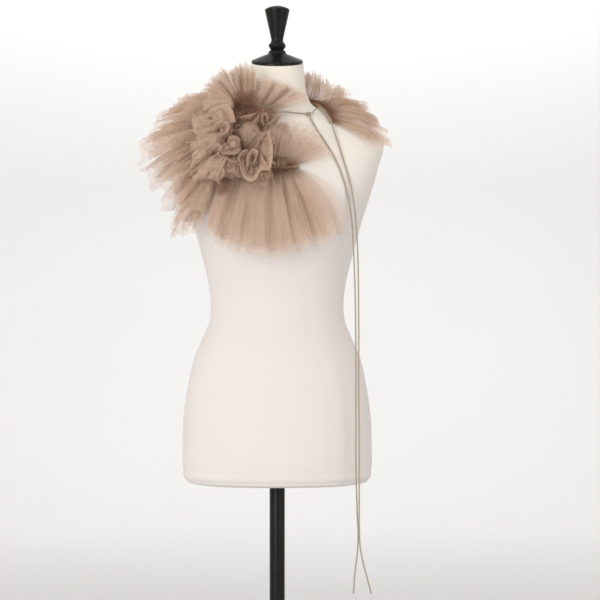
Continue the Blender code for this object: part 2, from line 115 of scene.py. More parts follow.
# Turned fittings: radius and height of each corner, and for the cap how far it leans forwards with the neck
CAP = disc_table(
    (45.4, 1429.8, 1.0), (46.4, 1431.2, 1.0), (46.4, 1434.0, 1.0), (44.8, 1435.6, 1.0),
    (30.0, 1441.6, 0.8), (17.0, 1446.6, 0.5), (15.6, 1448.6, 0.3), (15.2, 1451.4, 0.1),
    (12.0, 1452.6, 0.0),
)
FINIAL = turn_table(
    (0.0, 1533.0), (9.0, 1532.2), (17.5, 1529.4), (22.2, 1526.4), (22.4, 1524.6),
    (10.8, 1473.0), (10.8, 1468.6), (15.4, 1462.8), (15.7, 1460.4), (12.0, 1453.6),
    (11.2, 1452.9), (0.0, 1452.9),
)
POLE = turn_table(
    (0.0, 672.7), (13.75, 672.7), (13.75, 5.3), (0.0, 5.3),
)
BASE = turn_table(
    (0.0, 5.0), (14.05, 5.0), (14.05, 46.0), (19.0, 46.0), (20.5, 44.0),
    (22.0, 24.0), (34.0, 16.0), (120.0, 11.0), (173.0, 8.5), (179.0, 5.5),
    (180.0, 2.0), (179.0, 0.0), (0.0, 0.0),
)
TURNED_SIDES = 96

# Gathering lines: the middle of the casing, round the neck to the chest, and the turned-back stretch
ROUND = place_table(
    (97, -51.5, 1319.4), (88.4, -31, 1340), (67.6, 12, 1358.4), (39.2, 44.4, 1372),
    (0, 56, 1376), (-39.6, 44.2, 1372), (-67.5, 12, 1357.6), (-82.6, -22.3, 1345),
    (-95.4, -53, 1319.4), (-102.2, -78.6, 1284.6), (-91.4, -96, 1253.6), (-62, -108.4, 1234.8),
    (-28, -112.4, 1229.6), (6, -110.4, 1235.6), (39, -108, 1238),
)
CREST = place_table(
    (-2, -80, 1336), (-26, -92, 1337), (-50, -100, 1344), (-70, -106, 1337),
    (-82, -114, 1315), (-80, -124, 1288), (-67, -133, 1265), (-46, -138, 1252),
    (-22, -137, 1245), (-6, -128, 1243), (3, -117, 1240),
)
LINES = {"round": ROUND, "crest": CREST}
CASING_RADIUS = 3.2
CASINGS = (
    ("casing_right", "round", 0.0, 2.5),
    ("casing_back", "round", 2.5, 5.5),
    ("casing_left", "round", 5.5, 9.5),
    ("casing_chest", "round", 9.5, 14.0),
    ("casing_crest", "crest", 0.0, 10.0),
)

# How far each layer of a ruffle reaches, as a share of its depth: plain layers, and ones with a sheer hem
LAYER_REACHES = (1.03, 0.93, 0.97, 0.88, 0.94)
SHEER_REACHES = (1.02, 0.82, 0.92, 0.76, 0.87)
# How much each layer is cut back at an end that is trimmed, as a share of the ruffle's length
LAYER_TRIMS = (0.0, 0.13, 0.06, 0.20, 0.10)

# Ruffles: gathering line, pleats, layers of net, and for each hem row its place on that line, point, bow,
# wave height and roll. header is the short frill on the gathers' other side, as a share of the depth,
# crumple the height of the wrinkles, ragged the unevenness of the hem as a share of the depth, soft how far
# fine waves are smoothed, sweep how far the far end is moved on along the hem, and trims which of the two
# ends are trimmed.
Ruffle = namedtuple(
    "Ruffle",
    "node line pleats layers hems header crumple ragged soft reaches sweep trims",
    defaults=(0.07, 1.0, 0.03, 0.25, LAYER_REACHES, 0, (0, 0)),
)
OUTER_RUFFLES = (
    Ruffle("skirt_right_shoulder", "round", 8, 4, hem_table(
        (0.0, 175, -76, 1282, 4, 4), (0.35, 206, -62, 1285, 8, 6), (0.7, 199, -42, 1308, 10, 7),
        (1.1, 180, 4, 1337, 10, 8), (1.5, 168, 40, 1352, 10, 8), (1.8, 160, 84, 1352, 10, 8),
    ), crumple=3, ragged=0.08, soft=0.5, reaches=SHEER_REACHES, trims=(0.5, 0)),
    Ruffle("skirt_back_right", "round", 10, 5, hem_table(
        (1.8, 160, 84, 1352, 10, 8), (2.4, 140, 128, 1318, 12, 8), (3.0, 96, 158, 1278, 14, 8),
        (4.0, 4, 172, 1246, 14, 8),
    )),
    Ruffle("skirt_back_left", "round", 10, 5, hem_table(
        (4.0, 4, 172, 1246, 14, 8), (5.0, -100, 158, 1276, 14, 8), (5.6, -146, 126, 1318, 12, 8),
        (6.1, -174, 82, 1352, 10, 8),
    )),
    Ruffle("skirt_left_shoulder", "round", 9, 5, hem_table(
        (6.1, -176, 78, 1353, 10, 8), (6.5, -186, 42, 1370, 10, 7), (7.0, -216, -5, 1345, 10, 6),
        (7.35, -237, -36, 1312, 8, 5), (7.7, -256, -60, 1281, 8, 5), (8.1, -247, -82, 1238, 8, 5),
    ), crumple=2, ragged=0.06, soft=0.6, reaches=SHEER_REACHES),
    Ruffle("skirt_left_chest", "round", 8, 5, hem_table(
        (8.15, -246, -83, 1233, 8, 6), (8.55, -226, -98, 1197, 8, 5), (9.05, -206, -110, 1160, 8, 5),
        (9.5, -190, -121, 1120, 8, 5), (9.9, -166, -128, 1107, 8, 5), (10.3, -141, -134, 1108, 8, 5),
    ), crumple=2, ragged=0.06, soft=0.6, reaches=SHEER_REACHES),
    Ruffle("skirt_chest", "round", 9, 5, hem_table(
        (10.35, -124, -141, 1121, 12, 4.5), (11.0, -101, -154, 1102, 14, 5), (11.8, -52, -160, 1086, 15, 5),
        (12.6, 8, -161, 1080, 15, 5), (13.25, 61, -156, 1098, 15, 5), (13.7, 103, -148, 1113, 14, 4.5),
        (14.0, 125, -140, 1139, 12, 4),
    ), crumple=2.5, ragged=0.01, soft=0.75, sweep=18, trims=(0, 1)),
)
INNER_RUFFLES = (
    Ruffle("frill_right_neck", "round", 6, 4, hem_table(
        (0.7, 136, 2, 1384, -2, 3), (1.0, 127, 14, 1392, -2, 4), (1.3, 112, 30, 1400, -2, 5),
        (1.65, 95, 46, 1407, -2, 5), (2.0, 84, 62, 1416, -2, 5), (2.5, 68, 88, 1424, -2, 5),
    ), crumple=4, ragged=0.14, soft=0.4, reaches=SHEER_REACHES),
    Ruffle("frill_back", "round", 12, 4, hem_table(
        (2.5, 70, 92, 1424, -2, 6), (3.3, 32, 116, 1424, -2, 6), (4.0, 0, 120, 1424, -2, 6),
        (4.7, -34, 116, 1422, -2, 6), (5.5, -76, 88, 1420, -2, 6),
    )),
    Ruffle("frill_left_shoulder", "round", 8, 4, hem_table(
        (5.5, -80, 84, 1420, -2, 6), (6.2, -120, 42, 1398, 2, 6), (6.6, -141, 0, 1384, 4, 6),
        (7.0, -160, -44, 1364, 6, 6), (7.6, -190, -90, 1329, 8, 6), (8.1, -210, -117, 1297, 10, 5),
    ), crumple=3, ragged=0.08, soft=0.55, reaches=SHEER_REACHES),
    Ruffle("frill_left_chest", "round", 8, 4, hem_table(
        (8.15, -211, -121, 1293, 10, 5), (8.5, -219, -138, 1261, 12, 6), (9.1, -198, -158, 1211, 12, 6),
        (9.65, -178, -168, 1163, 12, 6), (10.0, -163, -174, 1142, 12, 6), (10.3, -132, -180, 1148, 12, 6),
    ), crumple=4, ragged=0.12, soft=0.55, reaches=SHEER_REACHES),
    Ruffle("frill_hollow", "round", 7, 4, hem_table(
        (8.6, -48, -100, 1340, 0, 5), (9.3, -26, -112, 1322, 0, 6), (10.0, -10, -124, 1296, 0, 6),
        (10.7, -4, -134, 1268, 0, 5),
    )),
    Ruffle("frill_chest_end", "round", 5, 4, hem_table(
        (12.0, -15, -112, 1318, -2, 1), (12.4, 10, -108, 1321, -2, 2), (12.8, 41, -102, 1317, -3, 2.5),
        (13.2, 69, -98, 1306, -4, 2.5), (13.65, 88, -98, 1283, -4, 3), (14.0, 105, -99, 1256, -3, 2.5),
    ), crumple=5, ragged=0.06, soft=0.7, trims=(0, 1), reaches=SHEER_REACHES),
)
CREST_RUFFLES = (
    Ruffle("crest_throat", "crest", 6, 4, hem_table(
        (0.0, 58, -83, 1352, 2, 3, 0), (0.4, 50, -85, 1371, 2, 4, -4), (0.8, 27, -89, 1383, 3, 5, -8),
        (1.3, -4, -92, 1393, 4, 5, -12), (1.95, -46, -94, 1399, 4, 5, -14),
    ), header=0.16, crumple=4, ragged=0.05, soft=0.6, trims=(1, 0)),
    Ruffle("crest_top", "crest", 8, 5, hem_table(
        (1.65, -36, -99, 1415, 4, 5, -14), (2.1, -62, -101, 1422, 4, 5, -16),
        (2.5, -94, -106, 1411, 5, 5, -8), (2.9, -119, -112, 1395, 6, 5, 6),
        (3.3, -131, -118, 1377, 6, 5, 20),
    ), header=0.12, crumple=4, ragged=0.08, soft=0.4),
    Ruffle("crest_left", "crest", 8, 5, hem_table(
        (3.33, -131, -121, 1373, 6, 5, 20), (3.8, -130, -142, 1335, 8, 5, 26),
        (4.4, -142, -168, 1292, 10, 5, 22), (5.0, -150, -186, 1248, 10, 5, 10),
        (5.5, -134, -196, 1211, 10, 5, 4), (5.9, -106, -200, 1203, 10, 5, 0),
    ), crumple=6, ragged=0.16, soft=0.6),
)
CURLS = (
    Ruffle("curl_upper", "crest", 5, 4, hem_table(
        (3.3, -62, -146, 1328, 0, 5), (4.2, -66, -158, 1304, 0, 6), (4.9, -66, -168, 1282, 0, 6),
    )),
    Ruffle("curl_middle", "crest", 5, 4, hem_table(
        (4.95, -56, -160, 1303, 0, 5), (5.9, -38, -171, 1299, 0, 6), (6.9, -20, -176, 1292, 0, 6),
        (8.0, 2, -176, 1283, 0, 6),
    )),
    Ruffle("curl_lower", "crest", 7, 4, hem_table(
        (5.95, -78, -184, 1240, 0, 5), (6.4, -64, -192, 1224, 0, 7), (6.9, -46, -194, 1215, 0, 7),
        (7.4, -26, -192, 1210, 0, 7), (8.0, -4, -184, 1218, 0, 6),
    )),
)

# Uneven hems: along the gathering line, the share of its full depth that the cloth reaches
EDGES = {
    "skirt_left_shoulder": reach_table(
        (6.1, 1.0), (6.5, 1.0), (6.72, 0.88), (7.0, 1.0), (7.15, 0.98),
        (7.4, 0.87), (7.7, 1.0), (8.1, 1.0),
    ),
    "skirt_left_chest": reach_table(
        (8.15, 1.0), (8.5, 0.98), (8.75, 0.84), (9.05, 1.0), (9.25, 0.86),
        (9.5, 1.0), (9.9, 1.0), (10.3, 0.86),
    ),
    "frill_left_shoulder": reach_table(
        (5.5, 1.0), (7.0, 1.0), (7.25, 0.92), (7.6, 1.0), (7.85, 0.91),
        (8.1, 1.0),
    ),
    "frill_left_chest": reach_table(
        (8.15, 1.0), (8.45, 1.0), (8.7, 0.87), (9.1, 1.0), (9.4, 0.84),
        (9.7, 1.0), (10.0, 1.0), (10.3, 0.92),
    ),
}

# Standing frills of the rosette and the crest: the ruffle that each belongs to, the point that it runs back
# to, its lip, its layers, and the places along its hem
FOLDS = fold_table(
    ("curl_lower", (-45.2, -171, 1240.1), 1.2, 4, place_table(
        (-63.3, -182, 1248), (-61.6, -188, 1235.6), (-58.4, -192, 1223.3), (-52.3, -194, 1212.9),
        (-44.6, -195, 1207.8), (-36.9, -194, 1210.4), (-31.8, -192, 1218.2), (-26.7, -190, 1226),
    )),
    ("curl_middle", (-26.2, -170, 1259.1), 1.1, 4, place_table(
        (-33.6, -188, 1216.7), (-28.4, -190, 1225.2), (-20.7, -190, 1228.1), (-12.2, -189, 1227.6),
        (-7.7, -189, 1238.9), (-6.5, -189, 1257.8), (-8.8, -187, 1276.8), (-12.8, -183, 1296),
    )),
    ("curl_middle", (-40.4, -166, 1245.5), 1.1, 4, place_table(
        (-51.6, -189, 1216.7), (-50.5, -192, 1230.2), (-49.3, -194, 1243.8), (-47.2, -194, 1254.1),
        (-42.9, -193, 1260.5), (-37.8, -192, 1262.4), (-32.3, -192, 1259.7), (-31.7, -192, 1254.2),
        (-35.1, -191, 1246.5), (-39.6, -189, 1238.1), (-42.2, -186, 1230.6),
    )),
    ("curl_lower", (-46.8, -176, 1234.6), 0.9, 3, place_table(
        (-56.5, -186, 1246.9), (-56.2, -190, 1235.5), (-54, -191, 1225.1), (-49.5, -190, 1216.6),
    )),
    ("curl_lower", (-53.7, -172, 1245.2), 1.1, 4, place_table(
        (-65.2, -180, 1242.9), (-64.2, -185, 1250.4), (-59.9, -188, 1257.2), (-53.3, -188, 1261),
        (-47.6, -186, 1260.8),
    )),
    ("curl_middle", (-33.9, -176, 1234.6), 0.9, 4, place_table(
        (-27.7, -184, 1257.3), (-23.5, -188, 1248.4), (-17.6, -190, 1238), (-12.8, -189, 1229),
    )),
    ("curl_lower", (-78, -168, 1269.6), 1.1, 3, place_table(
        (-96.2, -174, 1264), (-93.5, -178, 1256.5), (-83.6, -181, 1255.9), (-73.3, -182, 1255),
        (-65.2, -180, 1257.9), (-61.6, -176, 1264.7),
    )),
    ("curl_lower", (-74.5, -168, 1271.3), 1, 3, place_table(
        (-94.2, -174, 1266.6), (-91.5, -177, 1272.7), (-82.8, -179, 1275.7), (-81.4, -180, 1282.5),
        (-75.9, -181, 1285.5), (-67.3, -180, 1284.2), (-61.4, -176, 1279),
    )),
    ("curl_lower", (-69.4, -166, 1252.4), 0.9, 3, place_table(
        (-77.8, -174, 1245.9), (-73.4, -178, 1241.3), (-67.3, -180, 1241.2), (-62.8, -180, 1246.4),
    )),
    ("curl_upper", (-20.4, -144, 1318.1), 0.9, 4, place_table(
        (-22.2, -154, 1306.9), (-24.4, -157, 1314.4), (-24.5, -159, 1321.5), (-21.6, -159, 1326.5),
        (-17.4, -158, 1327), (-15.4, -157, 1320.5), (-16.4, -155, 1312),
    )),
    ("curl_upper", (-45.8, -140, 1311.4), 1, 4, place_table(
        (-65.5, -150, 1320.2), (-56.8, -153, 1322.5), (-47.2, -155, 1324.1), (-37.7, -154, 1326.9),
        (-29.2, -150, 1331.8),
    )),
    ("curl_upper", (-30.2, -140, 1306.2), 0.9, 3, place_table(
        (-41.1, -157, 1309.2), (-35.1, -157, 1317.9), (-29.1, -154, 1326.3), (-21.4, -149, 1336.7),
    )),
    ("curl_middle", (-22.8, -168, 1276.5), 0.9, 3, place_table(
        (-34, -179, 1265.4), (-32.2, -182, 1275.5), (-28.4, -183, 1283.6), (-20.8, -184, 1290.1),
        (-13.3, -182, 1295),
    )),
    ("curl_upper", (-2.5, -134, 1310.2), 0.9, 3, place_table(
        (-16.1, -152, 1307.9), (-8.4, -150, 1314.1), (-0.6, -144, 1321.2), (9.7, -136, 1325.7),
    )),
    ("crest_left", (-101.1, -150, 1305.5), 1, 3, place_table(
        (-121.4, -160, 1322), (-110.8, -166, 1334.4), (-98.6, -170, 1339.2), (-86.5, -172, 1340.8),
        (-77.9, -172, 1333.9), (-72.7, -172, 1322.7), (-71, -170, 1310.8),
    )),
    ("crest_left", (-95.5, -160, 1297.8), 0.9, 3, place_table(
        (-108.9, -172, 1295.1), (-103.5, -176, 1306.9), (-93.2, -177, 1311.9), (-82.9, -176, 1308.6),
        (-82.1, -175, 1298.3), (-89.8, -175, 1289.7), (-100.2, -174, 1284.6),
    )),
    ("crest_left", (-110.8, -166, 1254.2), 0.9, 3, place_table(
        (-125.8, -178, 1249.9), (-120.5, -182, 1263.4), (-110.2, -183, 1271.1), (-98.2, -182, 1272),
        (-93.9, -181, 1264.4), (-99, -182, 1255.7), (-92.2, -182, 1247.1), (-99.9, -182, 1238.5),
    )),
    ("crest_left", (-112.2, -174, 1214), 0.9, 3, place_table(
        (-132.3, -186, 1208.2), (-125.3, -190, 1221.7), (-115, -191, 1231.1), (-101.3, -190, 1233.7),
        (-90.2, -188, 1227.9), (-91.1, -189, 1217.5), (-99.6, -190, 1211.5), (-94.5, -188, 1201.3),
    )),
    ("curl_lower", (-85, -164, 1237), 0.9, 3, place_table(
        (-98.5, -174, 1243.3), (-86.3, -178, 1247.4), (-75.9, -180, 1242.1), (-71.6, -180, 1232.6),
        (-79.3, -180, 1224.9), (-90.6, -178, 1227.6),
    )),
)
STEPS_PER_PLACE = 11
FOLD_STEPS = 11
FOLD_REACH = 0.85
FOLD_LAYER_GAP = 0.9

# Puffs of crumpled net between the frills: the ruffle that each belongs to, its centre and half sizes, how
# far it stands forward, its turn in degrees, its pleats and layers of net, how rough it is, and how far
# from the gathers its rim lies on the net's map, which sets the painted shade at its rim, full at 0, and how
# fast its inner layers shrink
PUFFS = puff_table(
    ("frill_hollow", -46.6, -138, 1291.8, 18, 23.5, 38, 3, 7, 5, 1.2, 13),
    ("frill_hollow", -67.5, -112, 1308.4, 26, 26, 12, -20, 6, 4, 1.2, 0),
    ("frill_hollow", -0.9, -116, 1283.6, 24, 34, 18, 12, 5, 4, 1.6, 10),
    ("frill_hollow", -25.5, -114, 1311.8, 22, 17, 10, 0, 5, 5, 1, 0),
    ("curl_lower", -73.3, -150, 1273.2, 13.5, 16, 27, -8, 3, 4, 1.8, 11),
    ("curl_lower", -86.2, -148, 1266.8, 12, 11, 25, 10, 2, 4, 1.8, 11),
    ("curl_middle", -17.5, -154, 1263.6, 11, 34, 26, 5, 2, 4, 1, 14),
    ("curl_lower", -45.5, -156, 1235.8, 19, 25, 20, 0, 3, 4, 1.2, 10),
    ("curl_lower", -83.8, -148, 1236.3, 24, 21, 24, 15, 3, 4, 2.4, 10),
    # Dark pillows of net in full painted shade, their rim at 0, in the hollow beside the neck.
    ("curl_upper", -55.5, -101, 1349.6, 26, 23, 10, 0, 7, 5, 1.4, 0),
    ("curl_upper", -52, -102, 1333.8, 28, 11, 9, 0, 6, 5, 1.2, 0),
    ("curl_upper", -18.6, -104, 1326.6, 24, 12, 12, 10, 5, 4, 1.4, 0),
    ("crest_left", -95.3, -138, 1318.6, 21.5, 27, 34, -16, 3, 4, 3.2, 11),
    ("crest_left", -87.5, -140, 1295.8, 16, 18, 28, 5, 3, 4, 3, 11),
    ("crest_left", -109.8, -148, 1276.1, 22, 24, 30, 10, 2, 4, 3.2, 14),
    ("crest_left", -106, -158, 1233.9, 24, 22, 28, 25, 2, 4, 3.2, 14),
    ("crest_left", -124.2, -136, 1308.3, 22, 26, 24, -20, 2, 4, 3.2, 14),
    ("frill_chest_end", 0.7, -106, 1244.1, 20, 15, 22, 0, 5, 5, 1.6, 5),
    ("curl_lower", -91.9, -139, 1205.5, 15, 22, 7, 6, 4, 3, 1.6, 3),
)
PUFF_ACROSS = 48
PUFF_DOWN = 30

# Main creases: where on the hem, how wide and deep, and how far out from the gathers each
# starts
CREASES = {
    "skirt_chest": crease_table(
        (0.13, 0.030, 9, 0.05), (0.27, 0.022, 6, 0.20), (0.47, 0.020, 7, 0.00), (0.63, 0.022, 11, 0.00),
        (0.76, 0.018, 9, 0.00),
    ),
    "skirt_left_chest": crease_table(
        (0.22, 0.030, 12, 0.10), (0.55, 0.026, 14, 0.15), (0.82, 0.030, 15, 0.10),
    ),
    "skirt_left_shoulder": crease_table(
        (0.35, 0.030, 12, 0.10), (0.72, 0.028, 12, 0.10),
    ),
    "skirt_right_shoulder": crease_table(
        (0.20, 0.030, 10, 0.05), (0.55, 0.035, 12, 0.05), (0.80, 0.028, 9, 0.15),
    ),
    "skirt_back_right": crease_table(
        (0.30, 0.035, 13, 0.10), (0.72, 0.028, 11, 0.05),
    ),
    "skirt_back_left": crease_table(
        (0.24, 0.028, 12, 0.05), (0.63, 0.034, 13, 0.12),
    ),
    "frill_left_chest": crease_table(
        (0.25, 0.034, 12, 0.05), (0.62, 0.030, 13, 0.10),
    ),
    "frill_left_shoulder": crease_table(
        (0.42, 0.034, 10, 0.10), (0.80, 0.030, 11, 0.05),
    ),
    "crest_left": crease_table(
        (0.22, 0.030, 11, 0.05), (0.50, 0.034, 14, 0.10), (0.78, 0.028, 12, 0.05),
    ),
    "crest_top": crease_table(
        (0.30, 0.036, 10, 0.05), (0.70, 0.030, 11, 0.05),
    ),
    "crest_throat": crease_table(
        (0.35, 0.036, 12, 0.02), (0.60, 0.030, 12, 0.02), (0.85, 0.034, 12, 0.02),
    ),
}

# Drawstring: across the throat, the knot and the two free ends
THROAT = place_table(
    (-1.6, -79.8, 1336), (16, -69, 1336.5), (34, -57.5, 1336), (49.8, -50.8, 1335),
)
KNOT_CENTRE = Place(56.1, -51, 1334.9)
END_A = place_table(
    (57.8, -53.4, 1330.4), (64, -58.5, 1318), (73, -68.5, 1302), (95, -87, 1267),
    (113, -99.5, 1228), (124, -103.4, 1190), (131, -104.5, 1150), (135, -104, 1091),
    (138, -103, 1000), (139, -103, 900), (139, -103, 800), (139, -102, 720),
    (141, -100, 640), (143, -99, 580), (137, -99, 520), (135, -99, 489),
)
END_B = place_table(
    (62.8, -51.5, 1335.6), (67, -51, 1341.5), (73, -49, 1344.5), (82, -47.5, 1340),
    (94, -58.5, 1324), (103, -70.5, 1297), (112, -84.5, 1268), (128, -97.4, 1214),
    (135, -100.5, 1178), (140, -101, 1130), (143, -101, 1060), (144, -101, 960),
    (144, -101, 860), (145, -101, 760), (145, -102, 680), (145, -106, 600),
    (149, -107, 556), (166, -104, 489),
)

# Samples along a ruffle's line, along a pleat and from the header to the hem
FINE_STEPS = 600
STEPS_PER_PLEAT = 20
OUT_STEPS = 20
# Pleats: how flat their sides are; sines that space them along the ruffle and that make them unequal, as
# turns and strength; how high they stand at the gathers, and grow outwards and on the header; how far they
# lean, as a share of a pleat; how much each layer is moved on; and the full header, as a share of the depth
FLAT_SHARE = 0.45
SPACING_SINES = ((1.3, 0.40), (2.9, 0.25), (5.3, 0.14))
SIZE_SINES = ((0.41, 0.35), (1.17, 0.15))
PLEAT_GROWTH = (0.12, 0.88, 0.5)
PLEAT_LEAN = 0.25
LAYER_TURN = 0.8
FULL_HEADER = 0.16
# Finer waves: their height as a share of the pleats', and at the gathers; the hem's fine wave and how far
# every hem stays short of its line, as shares of the depth
FINER_SHARE = 0.7
GATHER_WAVE = 1.5
HEM_WAVE = 0.012
HEM_SHORT = 0.03
# How far out a crease takes to deepen, and where along a ruffle its sweep begins, as shares
CREASE_RUN = 0.35
SWEEP_FROM = 0.72
# Height of the net above the casing, how much higher its layers lie on the header, and its height above the
# form; steps of the search that keeps it off the form, and the search's nudge
CASING_GAP = 0.8
HEADER_LIFT = 4.0
NET_GAP = 2.0
CLEARING_STEPS = 4
NUDGE = 0.01
# Standing frills: how far a layer is moved on, how fast the lip fades, its ripple, its wrinkles, and how
# far from the gathers its root lies on the net's map, with the margin added along its depth, which set
# how far the painted shade near the gathers reaches into the frill's depths
FOLD_SHIFT = 0.03
LIP_FADE = 8.0
FOLD_RIPPLE = 0.7
FOLD_WRINKLE = 0.8
FOLD_SHADE_ROOT = 2.0
FOLD_SHADE_MARGIN = 10.0
# Puffs: the height of a pleat, and how much lower each layer lies
PUFF_PLEAT = 2.6
PUFF_DROP = 1.8

# Casing, cords and knot: steps along, sides round, how far gathers swell the casing, and the knot's size
CASING_STEPS = 120
CASING_SIDES = 16
CASING_SWELL = 0.14
THROAT_STEPS = 120
END_STEPS = 900
CORD_SIDES = 10
KNOT_STEPS = 97
KNOT_SIDES = 12
KNOT_SIZE = (1.9, 0.95, 0.95)
# How far the corners of the turned fittings are rounded
CAP_CORNER = 1.2
FINIAL_CORNER = 2.0
POLE_CORNER = 0.8
BASE_CORNER = 1.5

# Tones: painted shade on the net near its gathers, carried into the depths of its frills and puffs, and the
# jersey towards the neck, and in metres where each tone applies
GATHER_SHADE_DEPTH = 0.034
GATHER_SHADE_TONE = (0.42, 0.29, 0.24)
NECK_TONE = (0.90, 0.845, 0.76)
NECK_TONE_FROM = 1.12
NECK_TONE_FULL = 1.40

# Studio: the floor's edges, the wall and the bend between them in millimetres; lights in metres and watts
FLOOR_FRONT = -9000.0
FLOOR_HALF = 9000.0
WALL = 7200.0
WALL_TOP = 6500.0
WALL_BEND = 1600.0
SKY = (1.0, 0.98, 0.955, 1.0)
SKY_STRENGTH = 0.75
LIGHTS = light_table(
    ("key_light", (-1.8, -3.4, 1.75), (0.0, 0.0, 1.1), (1.6, 2.2), 58.0),
    ("fill_light", (2.6, -2.2, 1.4), (0.0, 0.0, 1.0), (1.6, 2.2), 10.0),
    ("backdrop_light", (0.0, 5.4, 4.4), (0.0, 7.2, 2.9), (6.0, 1.0), 118.0),
)
CAMERA_PLACE = (0.041, -4.0, 1.004)
CAMERA_LENS = 133.33
CAMERA_SENSOR = 36.0
CLEAR_BOUNCES = 32


def length(name, words, default):
    """A length in metres that a user can change."""
    return FloatProperty(name=name, description=words, default=default, precision=4, unit="LENGTH")


def shade(name, words, default):
    """A colour that a user can change."""
    return FloatVectorProperty(name=name, description=words, default=default, subtype="COLOR")


class CollarSizes(PropertyGroup):
    """Sizes of the tulle and its cord that a user would change."""

    layer_spread: length("Layer spread", "Distance from the first to the last layer of net at a hem", 0.014)
    overlap: FloatProperty(
        name="Pleat overlap",
        description="How far a pleat folds back over its neighbour, as a share of a pleat",
        default=0.15,
        subtype="FACTOR",
    )
    net_mesh: length("Net mesh", "Width of one hole of the net", 0.0014)
    fullness: FloatProperty(
        name="Fullness",
        description="How much longer the net's own map is than the hem line that it follows",
        default=1.35,
    )
    cord_diameter: length("Cord diameter", "Diameter of the drawstring", 0.0028)
    cord_pitch: length("Cord pitch", "Length of one full turn of the cord's two strands", 0.008)


class FormSizes(PropertyGroup):
    """Sizes of the dress form's cover."""

    seam_width: length("Seam width", "Half the width of the shallow trough along a seam", 0.0012)
    seam_depth: length("Seam depth", "Depth of the trough along a seam", 0.0010)
    knit: length("Knit", "Width of one stitch of the jersey", 0.0012)


class CollarFinishes(PropertyGroup):
    """Colours of the materials."""

    tulle: shade("Tulle", "Colour of the net", (0.72, 0.53, 0.405))
    cover: FloatProperty(
        name="Cover",
        description="Share of the light that one layer of net stops",
        default=0.31,
        subtype="FACTOR",
    )
    casing: shade("Casing", "Colour of the gathered net", (0.40, 0.27, 0.19))
    cord: shade("Cord", "Colour of the drawstring", (0.40, 0.33, 0.25))
    jersey: shade("Jersey", "Colour of the form's cover", (0.795, 0.74, 0.705))
    paint: shade("Paint", "Colour of the cap, pole and base", (0.008, 0.008, 0.008))
    floor: shade("Floor", "Colour of the floor and backdrop", (0.74, 0.735, 0.73))


def column(table, name):
    """One named column of a table, as an array."""
    return np.array([getattr(row, name) for row in table], float)


def through(knots, values, wanted):
    """A smooth curve through values at knots: cubic Hermite pieces with centred slopes."""
    slopes = np.gradient(values, knots)
    left = np.clip(np.searchsorted(knots, wanted, side="right") - 1, 0, len(knots) - 2)
    span = knots[left + 1] - knots[left]
    s = (wanted - knots[left]) / span
    return (
        (1 + 2 * s) * (1 - s) ** 2 * values[left]
        + s * (1 - s) ** 2 * span * slopes[left]
        + s * s * (3 - 2 * s) * values[left + 1]
        + s * s * (s - 1) * span * slopes[left + 1]
    )


def on_line(places, wanted):
    """Points of the smooth line through a list of places; 2.5 is halfway from the third to the fourth."""
    knots = np.arange(len(places), dtype=float)
    return np.stack([through(knots, column(places, axis), wanted) for axis in "xyz"], axis=-1)


def unit(vectors):
    """Vectors of length one."""
    return vectors / np.linalg.norm(vectors, axis=-1, keepdims=True)


def walked(points):
    """Distance walked along a run of points, from 0 at the first."""
    steps = np.linalg.norm(np.diff(points, axis=0), axis=1)
    return np.concatenate([[0.0], np.cumsum(steps)])


def evenly(places, start, end, count):
    """Points at equal distances along the smooth line through places."""
    fine = np.linspace(start, end, FINE_STEPS)
    far = walked(on_line(places, fine))
    return on_line(places, np.interp(np.linspace(0, far[-1], count), far, fine))


def read(values, across, wanted):
    """Vectors read between their even samples across."""
    return np.stack([np.interp(wanted, across, values[:, axis]) for axis in range(3)], axis=-1)


def sheets_to_object(name, sheets, material, wrap=False):
    """Make one object from grids of points and of map places.

    Each sheet is a pair of arrays, rows by columns by 3 in millimetres and rows by columns by 2 in metres.
    A quad joins each point to the next in its row and column; with wrap, the last column meets the first.
    """
    points, corners, maps, start = [], [], [], 0
    for grid, cloth in sheets:
        rows, columns = grid.shape[:2]
        index = start + np.arange(rows * columns).reshape(rows, columns)
        if wrap:
            index = np.concatenate([index, index[:, :1]], axis=1)
            cloth = np.concatenate([cloth, cloth[:, -1:] * 2 - cloth[:, -2:-1]], axis=1)
        quads = np.stack([index[:-1, :-1], index[:-1, 1:], index[1:, 1:], index[1:, :-1]], axis=-1)
        places = np.stack([cloth[:-1, :-1], cloth[:-1, 1:], cloth[1:, 1:], cloth[1:, :-1]], axis=-2)
        points.append(grid.reshape(-1, 3))
        corners.append(quads.reshape(-1, 4))
        maps.append(places.reshape(-1, 2))
        start += rows * columns
    points, corners, maps = np.concatenate(points), np.concatenate(corners), np.concatenate(maps)
    mesh = bpy.data.meshes.new(name)
    mesh.vertices.add(len(points))
    mesh.vertices.foreach_set("co", (points * MM).astype(np.float32).ravel())
    mesh.loops.add(corners.size)
    mesh.loops.foreach_set("vertex_index", corners.astype(np.int32).ravel())
    mesh.polygons.add(len(corners))
    mesh.polygons.foreach_set("loop_start", np.arange(0, corners.size, 4, dtype=np.int32))
    mesh.update(calc_edges=True)
    layer = mesh.uv_layers.new(name="cloth")
    layer.data.foreach_set("uv", maps.astype(np.float32).ravel())
    mesh.validate()
    mesh.shade_smooth()
    mesh.materials.append(material)
    item = bpy.data.objects.new(name, mesh)
    bpy.context.scene.collection.objects.link(item)
    return item


def settle(item, slot, *nodes):
    """Let a finished piece stand for its CAD nodes and ride on the body."""
    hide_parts(*nodes)
    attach(item, BODY)


def fill(tree, node, inputs):
    """Give a node's inputs their values, or link them where a value is another node's output."""
    for key, value in dict(inputs).items():
        if isinstance(value, bpy.types.NodeSocket):
            tree.links.new(value, node.inputs[key])
        else:
            node.inputs[key].default_value = value


